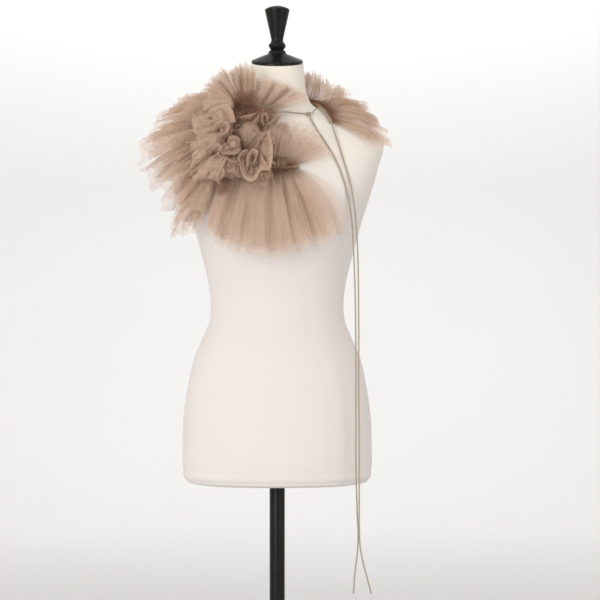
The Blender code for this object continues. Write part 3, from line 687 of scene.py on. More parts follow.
def blank_material(name):
    """A new material, a helper that adds a node to it and a helper that fills its shader's inputs."""
    material = bpy.data.materials.new(name)
    material.use_nodes = True
    tree = material.node_tree

    def add(kind, settings=(), inputs=()):
        node = tree.nodes.new(kind)
        for key, value in dict(settings).items():
            setattr(node, key, value)
        fill(tree, node, inputs)
        return node

    def look(inputs):
        fill(tree, tree.nodes["Principled BSDF"], inputs)

    return material, add, look


def relief(add, height, strength, depth):
    """Small unevenness from a height, for a shader's normal."""
    bump = add("ShaderNodeBump", (), {"Height": height, "Strength": strength, "Distance": depth})
    return bump.outputs["Normal"]


def coloured(add, colour, factor, low, high):
    """A colour that a factor from 0 to 1 makes darker or lighter, between low and high times itself."""
    node = add("ShaderNodeMix", {"data_type": "RGBA"}, {"Factor": factor})
    node.inputs["A"].default_value = (*[low * part for part in colour], 1.0)
    node.inputs["B"].default_value = (*[min(1.0, high * part) for part in colour], 1.0)
    return node.outputs["Result"]


def net_threads(add, mesh_width):
    """Threads of hexagonal net on the cloth's map: the highest of three rows of ridges, 60 degrees apart."""
    place = add("ShaderNodeUVMap", {"uv_map": "cloth"}).outputs["UV"]
    ridge = None
    for angle in (0.0, pi / 3, 2 * pi / 3):
        direction = (np.cos(angle) * 2 * pi / mesh_width, np.sin(angle) * 2 * pi / mesh_width, 0.0)
        along = add("ShaderNodeVectorMath", {"operation": "DOT_PRODUCT"}, {0: place, 1: direction})
        row = add("ShaderNodeMath", {"operation": "COSINE"}, {0: along.outputs["Value"]}).outputs["Value"]
        ridge = row if ridge is None else add(
            "ShaderNodeMath", {"operation": "MAXIMUM"}, {0: ridge, 1: row}
        ).outputs["Value"]
    return ridge


def tulle_material(name, colour, cover, mesh_width):
    """Soft sheer net: a see-through layer with its threads, uneven in tone, with painted shade near the
    gathers.
    """
    material, add, look = blank_material(name)
    place = add("ShaderNodeTexCoord").outputs["Object"]
    clouds = add("ShaderNodeTexNoise", (), {"Vector": place, "Scale": 22.0, "Detail": 2.0}).outputs["Fac"]
    threads = net_threads(add, mesh_width)
    tone = add("ShaderNodeMath", {"operation": "MULTIPLY_ADD"}, {0: threads, 1: 0.12, 2: clouds})
    cloth = add("ShaderNodeUVMap", {"uv_map": "cloth"}).outputs["UV"]
    depth = add("ShaderNodeSeparateXYZ", (), {"Vector": cloth}).outputs["Y"]
    # How far out of the painted shade near the gathers a point lies: 0 at the gathers, 1 from the shade's
    # depth on.
    clear = add(
        "ShaderNodeMapRange",
        {"interpolation_type": "SMOOTHSTEP"},
        {"Value": depth, "From Max": GATHER_SHADE_DEPTH},
    )
    # Painted shade: a darker tone near the gathers, fading out with that share.
    gathers = add(
        "ShaderNodeMix",
        {"data_type": "RGBA"},
        {"Factor": clear.outputs["Result"], "A": (*GATHER_SHADE_TONE, 1.0), "B": (1.0, 1.0, 1.0, 1.0)},
    )
    net = coloured(add, colour, tone.outputs["Value"], 0.86, 1.12)
    # The net's colour times the painted shade near the gathers.
    shaded_net = add(
        "ShaderNodeMix",
        {"data_type": "RGBA", "blend_type": "MULTIPLY"},
        {"Factor": 1.0, "A": net, "B": gathers.outputs["Result"]},
    )
    look({
        "Base Color": shaded_net.outputs["Result"],
        "Normal": relief(add, threads, 0.25, 0.0002),
        "Roughness": 0.9,
        "Specular IOR Level": 0.05,
        "Alpha": cover,
    })
    return material


def casing_material(colour):
    """Net gathered so tightly that it is dense: a lengthwise relief of folding, with painted shade where it
    sinks and painted light where it rises.
    """
    material, add, look = blank_material("gathered_net")
    place = add("ShaderNodeTexCoord").outputs["Object"]
    fold_relief_and_shade = add("ShaderNodeTexNoise", (), {"Vector": place, "Scale": 260.0, "Detail": 3.0}).outputs["Fac"]
    look({
        # Painted shade and light: the colour follows the height of the relief, darker in its hollows and
        # lighter on its ridges.
        "Base Color": coloured(add, colour, fold_relief_and_shade, 0.65, 1.35),
        "Normal": relief(add, fold_relief_and_shade, 0.5, 0.0008),
        "Roughness": 0.95,
        "Specular IOR Level": 0.1,
    })
    return material


def cord_material(colour):
    """Twisted cord: fine fibres that follow the strands round the cord."""
    material, add, look = blank_material("drawstring_cord")
    place = add("ShaderNodeUVMap", {"uv_map": "cloth"}).outputs["UV"]
    stretched = add("ShaderNodeMapping", (), {"Vector": place, "Scale": (900.0, 6.0, 1.0)}).outputs["Vector"]
    fibres = add("ShaderNodeTexNoise", (), {"Vector": stretched, "Scale": 1.0, "Detail": 2.0}).outputs["Fac"]
    look({
        "Base Color": coloured(add, colour, fibres, 0.7, 1.3),
        "Normal": relief(add, fibres, 0.4, 0.0002),
        "Roughness": 0.7,
        "Sheen Weight": 0.2,
    })
    return material


def jersey_material(colour, knit):
    """Cream jersey: fine stitches, a little uneven in tone, lighter and more yellow up the neck."""
    material, add, look = blank_material("cream_jersey")
    place = add("ShaderNodeTexCoord").outputs["Object"]
    clouds = add("ShaderNodeTexNoise", (), {"Vector": place, "Scale": 9.0, "Detail": 3.0}).outputs["Fac"]
    noise = add("ShaderNodeTexNoise", (), {"Vector": place, "Scale": 1.0 / knit, "Detail": 1.0})
    grain = noise.outputs["Fac"]
    mixed = add("ShaderNodeMath", {"operation": "MULTIPLY_ADD"}, {0: grain, 1: 0.35, 2: clouds})
    tone = mixed.outputs["Value"]
    height = add("ShaderNodeSeparateXYZ", (), {"Vector": place}).outputs["Z"]
    up_neck = add(
        "ShaderNodeMapRange",
        {"interpolation_type": "SMOOTHSTEP"},
        {"Value": height, "From Min": NECK_TONE_FROM, "From Max": NECK_TONE_FULL},
    )
    body, neck = (coloured(add, shown, tone, 0.96, 1.03) for shown in (colour, NECK_TONE))
    body_to_neck = add(
        "ShaderNodeMix",
        {"data_type": "RGBA"},
        {"Factor": up_neck.outputs["Result"], "A": body, "B": neck},
    )
    look({
        "Base Color": body_to_neck.outputs["Result"],
        "Normal": relief(add, grain, 0.35, 0.0004),
        "Roughness": 0.92,
        "Specular IOR Level": 0.2,
        "Sheen Weight": 0.15,
    })
    return material


def paint_material(colour):
    """Gloss black paint with faint wipe marks in its roughness."""
    material, add, look = blank_material("gloss_black_paint")
    place = add("ShaderNodeTexCoord").outputs["Object"]
    marks = add("ShaderNodeTexNoise", (), {"Vector": place, "Scale": 60.0, "Detail": 4.0}).outputs["Fac"]
    rough = add("ShaderNodeMapRange", (), {"Value": marks, "To Min": 0.2, "To Max": 0.34})
    look({
        "Base Color": coloured(add, colour, marks, 0.8, 1.3),
        "Roughness": rough.outputs["Result"],
        "Specular IOR Level": 0.2,
    })
    return material


def floor_material(colour):
    """Matt pale studio floor."""
    material, add, look = blank_material("pale_floor")
    place = add("ShaderNodeTexCoord").outputs["Object"]
    clouds = add("ShaderNodeTexNoise", (), {"Vector": place, "Scale": 1.5, "Detail": 2.0}).outputs["Fac"]
    look({"Base Color": coloured(add, colour, clouds, 0.99, 1.01), "Roughness": 0.95})
    return material


def tilted(points, share):
    """Lean points forwards with the neck: their height falls with their reach to the front."""
    leaned = points.copy()
    leaned[..., 2] += NECK_TILT * share * (points[..., 1] - NECK_CENTRE_Y)
    return leaned


def bust_rise(x, level):
    """How far the front stands out at the bust: a Gaussian of the distance to each of its two middles."""
    aside = (np.abs(x) - BUST_ACROSS) / BUST_SPREAD
    above = (level - BUST_HEIGHT) / BUST_SPREAD
    return BUST_RISE * np.exp(-aside ** 2 - above ** 2)


def form_share(points, gap):
    """How far out each point lies: 1 on the form's surface grown by the gap, and less inside it."""
    x, y, z = points[..., 0], points[..., 1], points[..., 2]
    heights = column(FORM, "height")
    lean = NECK_TILT * np.clip((z - NECK_TILT_FROM) / (NECK_TILT_FULL - NECK_TILT_FROM), 0, 1)
    level = np.clip(z - lean * (y - NECK_CENTRE_Y), heights[0], heights[-1])
    half, front, back, power = (through(heights, column(FORM, name), level) for name in Ring._fields[1:])
    ahead = np.clip(np.abs(y) - bust_rise(x, level) * (y < 0), 0, None)
    reach = np.where(y < 0, front, back)
    return ((np.abs(x) / (half + gap)) ** power + (ahead / (reach + gap)) ** power) ** (1 / power)


def clear_of_form(points, gap):
    """Points that dip into the form, moved out by Newton steps up form_share's slope to where it is 1."""
    for _ in range(CLEARING_STEPS):
        share = form_share(points, gap)
        nudged = (form_share(points + NUDGE * axis, gap) for axis in np.eye(3))
        slope = np.stack([(other - share) / NUDGE for other in nudged], axis=-1)
        short = np.clip(1 - share, 0, None) / (slope ** 2).sum(axis=-1)
        points = points + short[..., None] * slope
    return points


def torso_points(sizes):
    """The form's surface: superellipses whose sizes follow the table, with two soft rises at the bust.

    Troughs along the seams are Gaussians of the distance to the middle line and to the princess seams, both
    in front and behind. The first and last rows close the body to a point.
    """
    heights = column(FORM, "height")
    level = np.linspace(heights[0], heights[-1], FORM_LEVELS)
    foot = np.linspace(heights[0], heights[3], FOOT_LEVELS)[:-1]
    level = np.concatenate([foot, level[level >= heights[3]]])[:, None]
    half, front, back, power = (through(heights, column(FORM, name), level) for name in Ring._fields[1:])
    angle = (np.arange(FORM_SIDES) * 2 * pi / FORM_SIDES)[None, :]
    across = np.sign(np.cos(angle)) * np.abs(np.cos(angle)) ** (2 / power)
    along = np.sign(np.sin(angle)) * np.abs(np.sin(angle)) ** (2 / power)
    x = half * across
    y = np.where(along < 0, front, back) * along
    y = y - bust_rise(x, level) * (along < 0)
    princess = through(np.array(SEAM_HEIGHTS, float), np.array(PRINCESS_SEAM, float), level)
    width, depth = sizes.seam_width / MM, sizes.seam_depth / MM
    apart = np.minimum(np.abs(x), np.abs(np.abs(x) - princess))
    trough = depth * np.exp(-(apart / width) ** 2) * (np.abs(along) > 0.3)
    y = y - np.sign(along) * trough
    share = np.clip((level - NECK_TILT_FROM) / (NECK_TILT_FULL - NECK_TILT_FROM), 0, 1)
    body = tilted(np.stack([x, y, np.broadcast_to(level, x.shape)], axis=-1), share)
    middle = body[[0, -1]].mean(axis=1, keepdims=True)
    foot = middle[:1] + (body[:1] - middle[:1]) * np.array([0.0, 0.5])[:, None, None]
    head = middle[1:] + (body[-1:] - middle[1:]) * np.array([0.5, 0.0])[:, None, None]
    return np.concatenate([foot, body, head])


def rounded(table, radius, steps=5):
    """A profile with each corner rounded by a short parabola, as columns of the table's own fields."""
    corners = np.array(table, float)
    before = corners[1:-1] - corners[:-2]
    after = corners[2:] - corners[1:-1]
    near = np.minimum(radius, 0.45 * np.linalg.norm(before[:, :2], axis=1))[:, None]
    far = np.minimum(radius, 0.45 * np.linalg.norm(after[:, :2], axis=1))[:, None]
    first = corners[1:-1] - before / np.linalg.norm(before[:, :2], axis=1)[:, None] * near
    last = corners[1:-1] + after / np.linalg.norm(after[:, :2], axis=1)[:, None] * far
    t = np.linspace(0, 1, steps)[None, :, None]
    bends = (1 - t) ** 2 * first[:, None] + 2 * t * (1 - t) * corners[1:-1, None] + t * t * last[:, None]
    return np.concatenate([corners[:1], bends.reshape(-1, corners.shape[1]), corners[-1:]])


def turned_points(profile, centre_y=0.0):
    """A profile swept round the upright axis: radius times cosine and sine, at the profile's height."""
    angle = (np.arange(TURNED_SIDES) * 2 * pi / TURNED_SIDES)[None, :]
    radius, height = profile[:, :1], profile[:, 1:2]
    return np.stack([
        radius * np.cos(angle),
        centre_y + radius * np.sin(angle),
        np.broadcast_to(height, (len(profile), TURNED_SIDES)),
    ], axis=-1)


def flat_map(points):
    """A map in metres for a swept surface: distance round on one axis and along on the other."""
    reach = np.linalg.norm(np.diff(points, axis=0), axis=2).max(axis=1)
    along = np.concatenate([[0.0], np.cumsum(reach)]) * MM
    turn = np.arange(points.shape[1]) / points.shape[1] * 0.1
    return np.stack(np.broadcast_arrays(turn[None, :], along[:, None]), axis=-1)


def tube_points(path, radius, sides, shape):
    """A tube along a path: a ring square to the path at each point, its radius times shape(distance, angle).

    The rings turn with the path by the least rotation: the side direction is the last one, with its part
    along the path taken out. The ends close to a point.
    """
    tangent = unit(np.gradient(path, axis=0))
    lead = np.array([0.0, 0.3, 1.0]) if abs(tangent[0][2]) < 0.9 else np.array([1.0, 0.2, 0.0])
    side = np.empty_like(path)
    for k, direction in enumerate(tangent):
        lead = lead - direction * (lead @ direction)
        lead = lead / np.linalg.norm(lead)
        side[k] = lead
    other = np.cross(tangent, side)
    angle = (np.arange(sides) * 2 * pi / sides)[None, :, None]
    reach = radius * shape(walked(path)[:, None, None], angle)
    ring = path[:, None] + reach * (np.cos(angle) * side[:, None] + np.sin(angle) * other[:, None])
    ends = [np.repeat(path[k][None, None], sides, axis=1) for k in (0, -1)]
    return np.concatenate([ends[0], ring, ends[1]])


def ruffle_bed(row):
    """The smooth ruled surface under one ruffle: its root, hem, side, bow, wave and roll at even steps."""
    at = column(row.hems, "at")
    fine = np.linspace(at[0], at[-1], FINE_STEPS)
    rough = np.stack([through(at, column(row.hems, axis), fine) for axis in "xyz"], axis=-1)
    far = walked(rough)
    across = np.linspace(0, 1, FINE_STEPS)
    place = np.interp(across * far[-1], far, fine)
    hem = np.stack([through(at, column(row.hems, axis), place) for axis in "xyz"], axis=-1)
    middle = on_line(LINES[row.line], place)
    tangent = unit(np.gradient(middle, axis=0))
    aim = hem - middle
    aim = unit(aim - (aim * tangent).sum(axis=-1, keepdims=True) * tangent)
    root = middle + CASING_RADIUS * aim
    edge = EDGES.get(row.node, (Reach(at[0], 1.0), Reach(at[-1], 1.0)))
    hem = root + np.interp(place, column(edge, "at"), column(edge, "share"))[:, None] * (hem - root)
    along = unit(np.gradient((root + hem) / 2, axis=0))
    side = unit(np.cross(hem - root, along))
    bow = through(at, column(row.hems, "bow"), place)
    wave = through(at, column(row.hems, "wave"), place)
    roll = through(at, column(row.hems, "roll"), place)
    depth = np.linalg.norm(hem - root, axis=1).mean()
    return Bed(across, root, hem, side, along, bow, wave, roll, far[-1], depth)


def crumpled(along, down, turn):
    """Soft wrinkles from -1 to 1: four sines of the place on the cloth, most of them bent by another one."""
    first = np.sin(0.23 * along + 0.06 * down + turn[0])
    second = np.sin(0.13 * along - 0.18 * down + turn[1] + 1.2 * first)
    third = np.sin(0.45 * along + 0.14 * down + turn[2] + 1.3 * second)
    fourth = np.sin(0.10 * along + 0.34 * down + turn[3] + 1.6 * first)
    return 0.3 * first + 0.28 * second + 0.2 * third + 0.22 * fourth


def pleat_wave(phase):
    """A pleat across its phase: part sine, part zigzag, so that its sides lie nearly flat."""
    return (1 - FLAT_SHARE) * np.sin(phase) + FLAT_SHARE * np.arcsin(0.98 * np.sin(phase)) / (pi / 2)


def sines(table, phase, turn):
    """Sum of sines: each row's strength times the sine of its own multiple of the phase and its own turn."""
    return sum(strength * np.sin(times * phase + start) for (times, strength), start in zip(table, turn))


def creased(node, place, out):
    """Depth of a ruffle's main creases: Gaussians across, which deepen outwards by a smooth step."""
    depth = 0.0
    for crease in CREASES.get(node, ()):
        start = np.clip((out - crease.start) / CREASE_RUN, 0, 1)
        trough = np.exp(-((place - crease.at) / crease.width) ** 2)
        depth = depth + crease.depth * trough * start * start * (3 - 2 * start)
    return depth


def hem_short(row, phase, ahead, turn):
    """How far a hem stays short of its line: a fixed share, a slow sine, a fine one and a bent one."""
    slow = 0.3 * row.ragged * np.sin(0.29 * phase + turn[2])
    fine = HEM_WAVE * (1 - row.soft) * np.sin(phase + turn[1])
    bent = 0.5 + 0.5 * np.sin(1.13 * phase + turn[6] + 1.2 * np.sin(0.47 * phase))
    return HEM_SHORT + slow + fine + row.ragged * bent * ahead


def net_layer(row, bed, layer, sizes, rng):
    """One layer of net over a ruffle's bed.

    across runs along the hem and out from the header to the hem. The phase of the pleats runs evenly but
    for slow sines. Each point is moved along the bed by minus a sine of twice the phase, so that pleats
    fold back over their neighbours, and by a slow sine, so that they lean. To the side it is moved by the
    pleat's wave, which grows outwards and on the header, by a finer one that is highest halfway, by a third
    that fades from the gathers, by wrinkles, by the main creases, by the bow, a parabola, by the roll,
    which is highest a third of the way out, and by the layer's own lift. The sweep, a parabola too, moves
    the last part of a ruffle on along the hem.
    """
    first, last = (trim * LAYER_TRIMS[layer] for trim in row.trims)
    across = np.linspace(first, 1 - last, row.pleats * STEPS_PER_PLEAT + 1)[None, :]
    out = np.linspace(-row.header, 1, OUT_STEPS)[:, None]
    ahead = np.clip(out, 0, 1)
    behind = np.clip(-out, 0, 1) / FULL_HEADER
    turn = rng.uniform(0, 2 * pi, 12)
    drift = sines(SPACING_SINES, 2 * pi * across, turn)
    phase = 2 * pi * (row.pleats * across + drift) + LAYER_TURN * np.sin(2.4 * layer)
    share = (layer + 0.5) / row.layers - 0.5
    at_gathers, outwards, on_header = PLEAT_GROWTH
    grow = at_gathers + outwards * ahead + on_header * behind
    inside = np.clip(np.minimum(across, 1 - across) * row.pleats * 2, 0, 1)
    size = 1 + sines(SIZE_SINES, phase, turn[3:])
    moved = -sizes.overlap * (1 - row.soft) * np.sin(2 * phase) / row.pleats * size * inside
    lean = PLEAT_LEAN * np.sin(0.33 * phase + turn[5]) / row.pleats * ahead * inside
    place = np.clip(across + moved * np.sqrt(grow) + lean, 0, 1)
    wave = np.interp(place, bed.across, bed.wave) * size
    finer = FINER_SHARE * wave * ahead * (1 - ahead) * np.sin(2.63 * phase + turn[6])
    gathers = GATHER_WAVE * (1 - ahead) ** 2 * np.sin(3.7 * phase + turn[7])
    aside = wave * grow * pleat_wave(phase) + (1 - row.soft) * (finer + gathers)
    aside = aside + row.crumple * np.sqrt(ahead) * crumpled(across * bed.length, ahead * bed.depth, turn[8:])
    aside = aside - creased(row.node, place, out)
    bow = np.interp(place, bed.across, bed.bow) * 4 * ahead * (1 - ahead)
    roll = np.interp(place, bed.across, bed.roll) * 6.75 * ahead * (1 - ahead) ** 2
    near, far = CASING_RADIUS + CASING_GAP, sizes.layer_spread / MM / 2
    lift = 2 * share * (near + (far - near) * ahead + HEADER_LIFT * behind)
    reach = row.reaches[layer] - hem_short(row, phase, ahead, turn)
    root = read(bed.root, bed.across, place)
    hem = read(bed.hem, bed.across, place)
    side = read(bed.side, bed.across, place)
    straight = root + (out * reach)[..., None] * (hem - root)
    late = np.clip((across - SWEEP_FROM) / (1 - SWEEP_FROM), 0, 1)
    sweep = row.sweep * 4 * ahead * (1 - ahead) * late ** 2
    points = straight + (aside + bow + roll + lift)[..., None] * side
    points = points + sweep[..., None] * read(bed.along, bed.across, place)
    length = across * bed.length * sizes.fullness
    # On the net's map, the distance out from the gathers sets the painted shade near them.
    cloth = np.stack(np.broadcast_arrays(length, out * bed.depth), axis=-1) * MM
    return points, cloth


def fold_layer(fold, layer):
    """One layer of a standing frill: net that runs from its hem, a smooth line, back to a root point.

    t runs from 0 at the hem to 1, with its steps closest near the hem. In depth the net moves evenly to the
    root, and across only a part of the way, so that it leaves the hem steeply. The lip turns outwards by an
    exponential of t, a sine along the hem makes it uneven, and wrinkles grow with the root of t.
    """
    hem = evenly(fold.places, 0, len(fold.places) - 1, len(fold.places) * STEPS_PER_PLACE)
    run = walked(hem)[None, :]
    home = np.array(fold.root)
    outward = unit((hem - home) * [1.0, 0.0, 1.0])[None]
    t = np.linspace(0.0, 1.0, FOLD_STEPS)[:, None] ** 1.5
    across = FOLD_REACH * (t + FOLD_SHIFT * layer)
    ripple = FOLD_RIPPLE * np.sin(0.42 * run + 2 * t + 1.9 * layer)
    lip = fold.lip * (1 + 0.3 * layer) * np.exp(-LIP_FADE * t) + ripple
    points = hem[None] + across[..., None] * (home - hem)[None] * [1.0, 0.0, 1.0] + lip[..., None] * outward
    back = (home[1] - hem[:, 1])[None, :]
    wrinkle = FOLD_WRINKLE * crumpled(run, back * t, (layer, 1, 2, 3)) * np.sqrt(t)
    points[..., 1] += back * t + FOLD_LAYER_GAP * layer + wrinkle
    # On the net's map the root lies close to the gathers, so the painted shade near them darkens the frill's
    # depths.
    cloth = np.stack(np.broadcast_arrays(run, FOLD_SHADE_ROOT + (1 - t) * (back + FOLD_SHADE_MARGIN)), axis=-1) * MM
    return points, cloth


def puff_layer(puff, layer):
    """One layer of a puff: a pillow, its height a power of the cosine across times a power of the sine down.

    It is widest halfway down. Pleats, sines of the place across bent by slower ones, ride on it and fade at
    its top and foot, and wrinkles of two sizes roughen it. Inner layers are lower and smaller, and less so
    where the rim lies far from the gathers. The whole is turned in the plane that faces forward.
    """
    across = np.linspace(-1, 1, PUFF_ACROSS)[None, :]
    down = np.linspace(0, 1, PUFF_DOWN)[:, None]
    narrow = 0.55 + 0.45 * np.sin(pi * down) ** 0.7
    bend = 0.8 * np.sin(2.3 * across + puff.turn) + 0.5 * np.sin(3 * down)
    pleat = PUFF_PLEAT * pleat_wave(puff.pleats * pi * across + bend) * np.sin(pi * down) ** 0.6
    shift = puff.x + 0.3 * layer
    along, deep = across * puff.half_width * 2, down * puff.half_height * 2
    starts = (shift, shift + 1, 1, layer)
    wrinkle = puff.rough * (crumpled(along, deep, starts) + 0.4 * crumpled(2.4 * along, 2.4 * deep, starts))
    height = (puff.bulge - PUFF_DROP * layer) * np.cos(across * pi / 2) ** 0.6 * np.sin(pi * down) ** 0.5
    size = 1 - layer * (0.15 - 0.007 * puff.root)
    side = puff.half_width * size * across * narrow
    up = puff.half_height * size * (1 - 2 * down)
    turn = radians(puff.turn)
    x = puff.x + side * np.cos(turn) + up * np.sin(turn)
    z = puff.z + up * np.cos(turn) - side * np.sin(turn)
    points = np.stack(np.broadcast_arrays(x, puff.y - height - pleat - wrinkle, z), axis=-1)
    # On the net's map the rim lies the puff's root from the gathers, so the painted shade near them darkens
    # it, fully where that is 0.
    rim = puff.root + (1 - np.abs(2 * down - 1)) * puff.root * 2
    cloth = np.stack(np.broadcast_arrays(across * 2 * puff.half_width, rim + 0.2 * deep), axis=-1) * MM
    return points, cloth


def make_ruffle(row, material):
    """One stretch of ruffle: its layers of net, kept clear of the form, in one piece."""
    sizes = bpy.context.scene.collar_sizes
    bed = ruffle_bed(row)
    rng = np.random.default_rng(sum(row.node.encode()))
    sheets = [net_layer(row, bed, layer, sizes, rng) for layer in range(row.layers)]
    extra = [fold_layer(fold, k) for fold in FOLDS if fold.node == row.node for k in range(fold.layers)]
    extra += [puff_layer(puff, k) for puff in PUFFS if puff.node == row.node for k in range(puff.layers)]
    sheets = [(clear_of_form(points, NET_GAP), cloth) for points, cloth in sheets + extra]
    item = sheets_to_object(f"net_{row.node}", sheets, material)
    settle(item, "tulle", row.node)


def tulle():
    """The net's material, made once and shared by every ruffle."""
    finishes, sizes = bpy.context.scene.collar_finishes, bpy.context.scene.collar_sizes
    known = bpy.data.materials.get("beige_tulle")
    return known or tulle_material("beige_tulle", finishes.tulle, finishes.cover, sizes.net_mesh)


def cord():
    """The cord's material, made once and shared by every stretch of the drawstring."""
    known = bpy.data.materials.get("drawstring_cord")
    return known or cord_material(bpy.context.scene.collar_finishes.cord)


def paint():
    """The black paint, made once and shared by the metal pieces."""
    known = bpy.data.materials.get("gloss_black_paint")
    return known or paint_material(bpy.context.scene.collar_finishes.paint)


def make_cord(name, places, steps):
    """A stretch of two-strand cord: a tube whose radius swells as a cosine, twice round, twisted along."""
    sizes = bpy.context.scene.collar_sizes
    path = evenly(places, 0, len(places) - 1, steps)
    pitch = sizes.cord_pitch / MM

    def strands(distance, angle):
        return 0.95 + 0.09 * np.cos(2 * (angle - 2 * pi * distance / pitch))

    points = tube_points(path, sizes.cord_diameter / MM / 2, CORD_SIDES, strands)
    return sheets_to_object(name, [(points, flat_map(points))], cord(), wrap=True), path


class COLLAR_OT_torso(Operator):
    """Build the dress form's torso with its seams"""

    bl_idname = "collar.torso"
    bl_label = "Torso"

    def execute(self, context):
        form = context.scene.collar_form
        points = torso_points(form)
        material = jersey_material(context.scene.collar_finishes.jersey, form.knit)
        item = sheets_to_object("jersey_torso", [(points, flat_map(points))], material, wrap=True)
        settle(item, "jersey", "form_torso")
        return {"FINISHED"}


class COLLAR_OT_fittings(Operator):
    """Build the neck cap, the finial, the pole and the base plate"""

    bl_idname = "collar.fittings"
    bl_label = "Cap, finial, pole and base"

    def execute(self, context):
        profile = rounded(CAP, CAP_CORNER)
        closed = np.concatenate([profile[:1] * [0, 1, 1], profile, profile[-1:] * [0, 1, 1]])
        cap = tilted(turned_points(closed, NECK_CENTRE_Y), closed[:, 2:3])
        pieces = (
            ("painted_neck_cap", cap, "neck_cap"),
            ("painted_finial", turned_points(rounded(FINIAL, FINIAL_CORNER)[::-1], NECK_CENTRE_Y), "finial"),
            ("painted_pole", turned_points(rounded(POLE, POLE_CORNER)[::-1]), "pole"),
            ("painted_base", turned_points(rounded(BASE, BASE_CORNER)[::-1]), "base"),
        )
        for name, points, node in pieces:
            item = sheets_to_object(name, [(points, flat_map(points))], paint(), wrap=True)
            settle(item, "black_paint", node)
        return {"FINISHED"}


class COLLAR_OT_casings(Operator):
    """Build the gathered tunnel that the drawstring runs in"""

    bl_idname = "collar.casings"
    bl_label = "Gathered casing"

    def execute(self, context):
        material = casing_material(context.scene.collar_finishes.casing)

        def gathers(distance, angle):
            return 1 + CASING_SWELL * np.sin(1.9 * distance + 2 * np.sin(angle)) * np.cos(0.31 * distance)

        for name, line, start, end in CASINGS:
            path = evenly(LINES[line], start, end, CASING_STEPS)
            points = tube_points(path, CASING_RADIUS, CASING_SIDES, gathers)
            item = sheets_to_object(f"gathered_{name}", [(points, flat_map(points))], material, wrap=True)
            settle(item, "casing", name)
        return {"FINISHED"}


class RuffleTable:
    """What the operators of the ruffles share: each builds the rows of its table."""

    rows = ()
    rests_on = "jersey_torso"

    def execute(self, context):
        for row in self.rows:
            make_ruffle(row, tulle())
        return {"FINISHED"}


class COLLAR_OT_outer_ruffles(RuffleTable, Operator):
    """Build the outer ruffle, which lies outwards over the shoulders, the back and the chest"""

    bl_idname = "collar.outer_ruffles"
    bl_label = "Outer ruffles"
    rows = OUTER_RUFFLES


class COLLAR_OT_inner_ruffles(RuffleTable, Operator):
    """Build the inner ruffle, which stands up against the neck and fans out over the outer one"""

    bl_idname = "collar.inner_ruffles"
    bl_label = "Inner ruffles"
    rows = INNER_RUFFLES


class COLLAR_OT_crest(RuffleTable, Operator):
    """Build the outer ruffle of the turned-back stretch, beside the neck and over the shoulder"""

    bl_idname = "collar.crest"
    bl_label = "Crest"
    rows = CREST_RUFFLES
    rests_on = "gathered_casing_crest"


class COLLAR_OT_curls(RuffleTable, Operator):
    """Build the crumpled curls in the middle of the front"""

    bl_idname = "collar.curls"
    bl_label = "Curls"
    rows = CURLS
    rests_on = "gathered_casing_crest"


class COLLAR_OT_drawstring(Operator):
    """Build the cord across the throat and its knot"""

    bl_idname = "collar.drawstring"
    bl_label = "Drawstring and knot"

    def execute(self, context):
        front, _ = make_cord("cord_throat", THROAT, THROAT_STEPS)
        settle(front, "cord", "drawstring_front")
        turn = np.linspace(0, 2 * pi, KNOT_STEPS)
        trefoil = np.stack([
            2.0 * np.sin(3 * turn),
            np.sin(turn) + 2 * np.sin(2 * turn),
            np.cos(turn) - 2 * np.cos(2 * turn),
        ], axis=-1)
        path = np.array(KNOT_CENTRE) + trefoil * KNOT_SIZE
        radius = context.scene.collar_sizes.cord_diameter / MM / 2
        points = tube_points(path, radius, KNOT_SIDES, lambda far, angle: np.ones_like(far + angle))
        knot = sheets_to_object("cord_knot", [(points, flat_map(points))], cord(), wrap=True)
        settle(knot, "cord", "knot")
        return {"FINISHED"}


class COLLAR_OT_cord_ends(Operator):
    """Build the drawstring's two free ends, which hang from the knot"""

    bl_idname = "collar.cord_ends"
    bl_label = "Free cord ends"

    def execute(self, context):
        ends = (("cord_hanging_a", END_A, "cord_end_a"), ("cord_hanging_b", END_B, "cord_end_b"))
        for name, places, node in ends:
            item, path = make_cord(name, places, END_STEPS)
            settle(item, "cord", node)
        return {"FINISHED"}


def area_light(row):
    """A soft rectangular light at its place, turned to its target."""
    light = bpy.data.lights.new(row.name, "AREA")
    light.shape = "RECTANGLE"
    light.size, light.size_y = row.size
    light.energy = row.power
    item = bpy.data.objects.new(row.name, light)
    item.location = row.place
    item.rotation_euler = (Vector(row.target) - Vector(row.place)).to_track_quat("-Z", "Y").to_euler()
    bpy.context.scene.collection.objects.link(item)


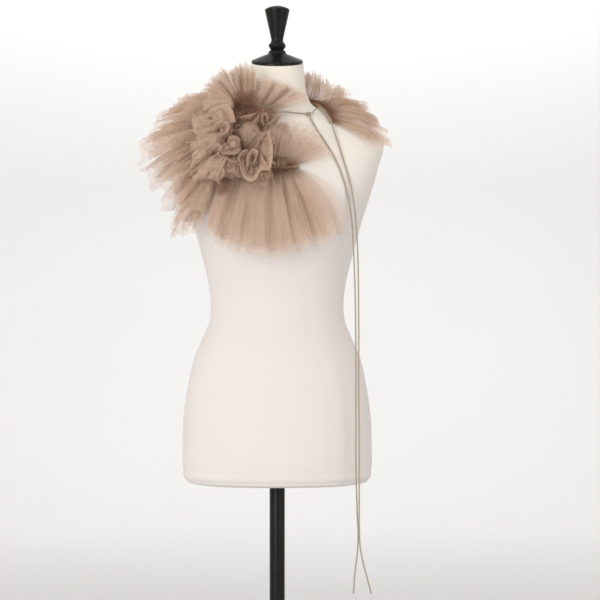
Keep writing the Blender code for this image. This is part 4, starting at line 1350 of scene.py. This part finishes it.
class COLLAR_OT_studio(Operator):
    """Build the pale floor that curves up to a backdrop, the soft lights and the camera"""

    bl_idname = "collar.studio"
    bl_label = "Studio"

    def execute(self, context):
        scene = context.scene
        bend = np.linspace(0, pi / 2, 25)
        profile = np.concatenate([
            [[FLOOR_FRONT, 0.0]],
            np.stack([WALL - WALL_BEND * (1 - np.sin(bend)), WALL_BEND * (1 - np.cos(bend))], axis=-1),
            [[WALL, WALL_TOP]],
        ])
        wide = np.array([[-FLOOR_HALF, FLOOR_HALF]])
        points = np.stack(np.broadcast_arrays(wide, profile[:, :1], profile[:, 1:]), axis=-1)
        material = floor_material(scene.collar_finishes.floor)
        floor = sheets_to_object("studio_floor", [(points, flat_map(points))], material)
        world = bpy.data.worlds.new("studio_light")
        world.use_nodes = True
        background = world.node_tree.nodes["Background"]
        background.inputs["Color"].default_value = SKY
        background.inputs["Strength"].default_value = SKY_STRENGTH
        scene.world = world
        for row in LIGHTS:
            area_light(row)
        camera = bpy.data.cameras.new("camera")
        camera.lens = CAMERA_LENS
        camera.sensor_width = CAMERA_SENSOR
        item = bpy.data.objects.new("camera", camera)
        item.location = CAMERA_PLACE
        item.rotation_euler = (radians(90), 0.0, 0.0)
        scene.collection.objects.link(item)
        scene.camera = item
        scene.view_settings.view_transform = "Standard"
        scene.cycles.transparent_max_bounces = CLEAR_BOUNCES
        return {"FINISHED"}


OPERATORS = (
    COLLAR_OT_studio,
    COLLAR_OT_cord_ends,
    COLLAR_OT_torso,
    COLLAR_OT_fittings,
    COLLAR_OT_casings,
    COLLAR_OT_drawstring,
    COLLAR_OT_outer_ruffles,
    COLLAR_OT_inner_ruffles,
    COLLAR_OT_crest,
    COLLAR_OT_curls,
)


class COLLAR_PT_panel(Panel):
    """Lists the collar's pieces, sizes and colours"""

    bl_idname = "COLLAR_PT_panel"
    bl_label = "Tulle Collar"
    bl_space_type = "VIEW_3D"
    bl_region_type = "UI"
    bl_category = "Tulle Collar"

    def draw(self, context):
        for group in (context.scene.collar_sizes, context.scene.collar_form, context.scene.collar_finishes):
            box = self.layout.box()
            for name in group.bl_rna.properties.keys():
                if name not in ("rna_type", "name"):
                    box.prop(group, name)
        for operator in OPERATORS:
            self.layout.operator(operator.bl_idname)


CLASSES = (CollarSizes, FormSizes, CollarFinishes, *OPERATORS, COLLAR_PT_panel)


def register():
    """Add the classes and the scene's groups of sizes."""
    for kind in CLASSES:
        bpy.utils.register_class(kind)
    bpy.types.Scene.collar_sizes = PointerProperty(type=CollarSizes)
    bpy.types.Scene.collar_form = PointerProperty(type=FormSizes)
    bpy.types.Scene.collar_finishes = PointerProperty(type=CollarFinishes)


def unregister():
    """Take the classes and the groups of sizes out again."""
    del bpy.types.Scene.collar_sizes
    del bpy.types.Scene.collar_form
    del bpy.types.Scene.collar_finishes
    for kind in reversed(CLASSES):
        bpy.utils.unregister_class(kind)


def main():
    """Build every piece in order."""
    register()
    for operator in OPERATORS:
        group, name = operator.bl_idname.split(".")
        done = getattr(getattr(bpy.ops, group), name)()
        if done != {"FINISHED"}:
            raise RuntimeError(f"{operator.bl_label} could not be built")


if __name__ == "__main__":
    main()
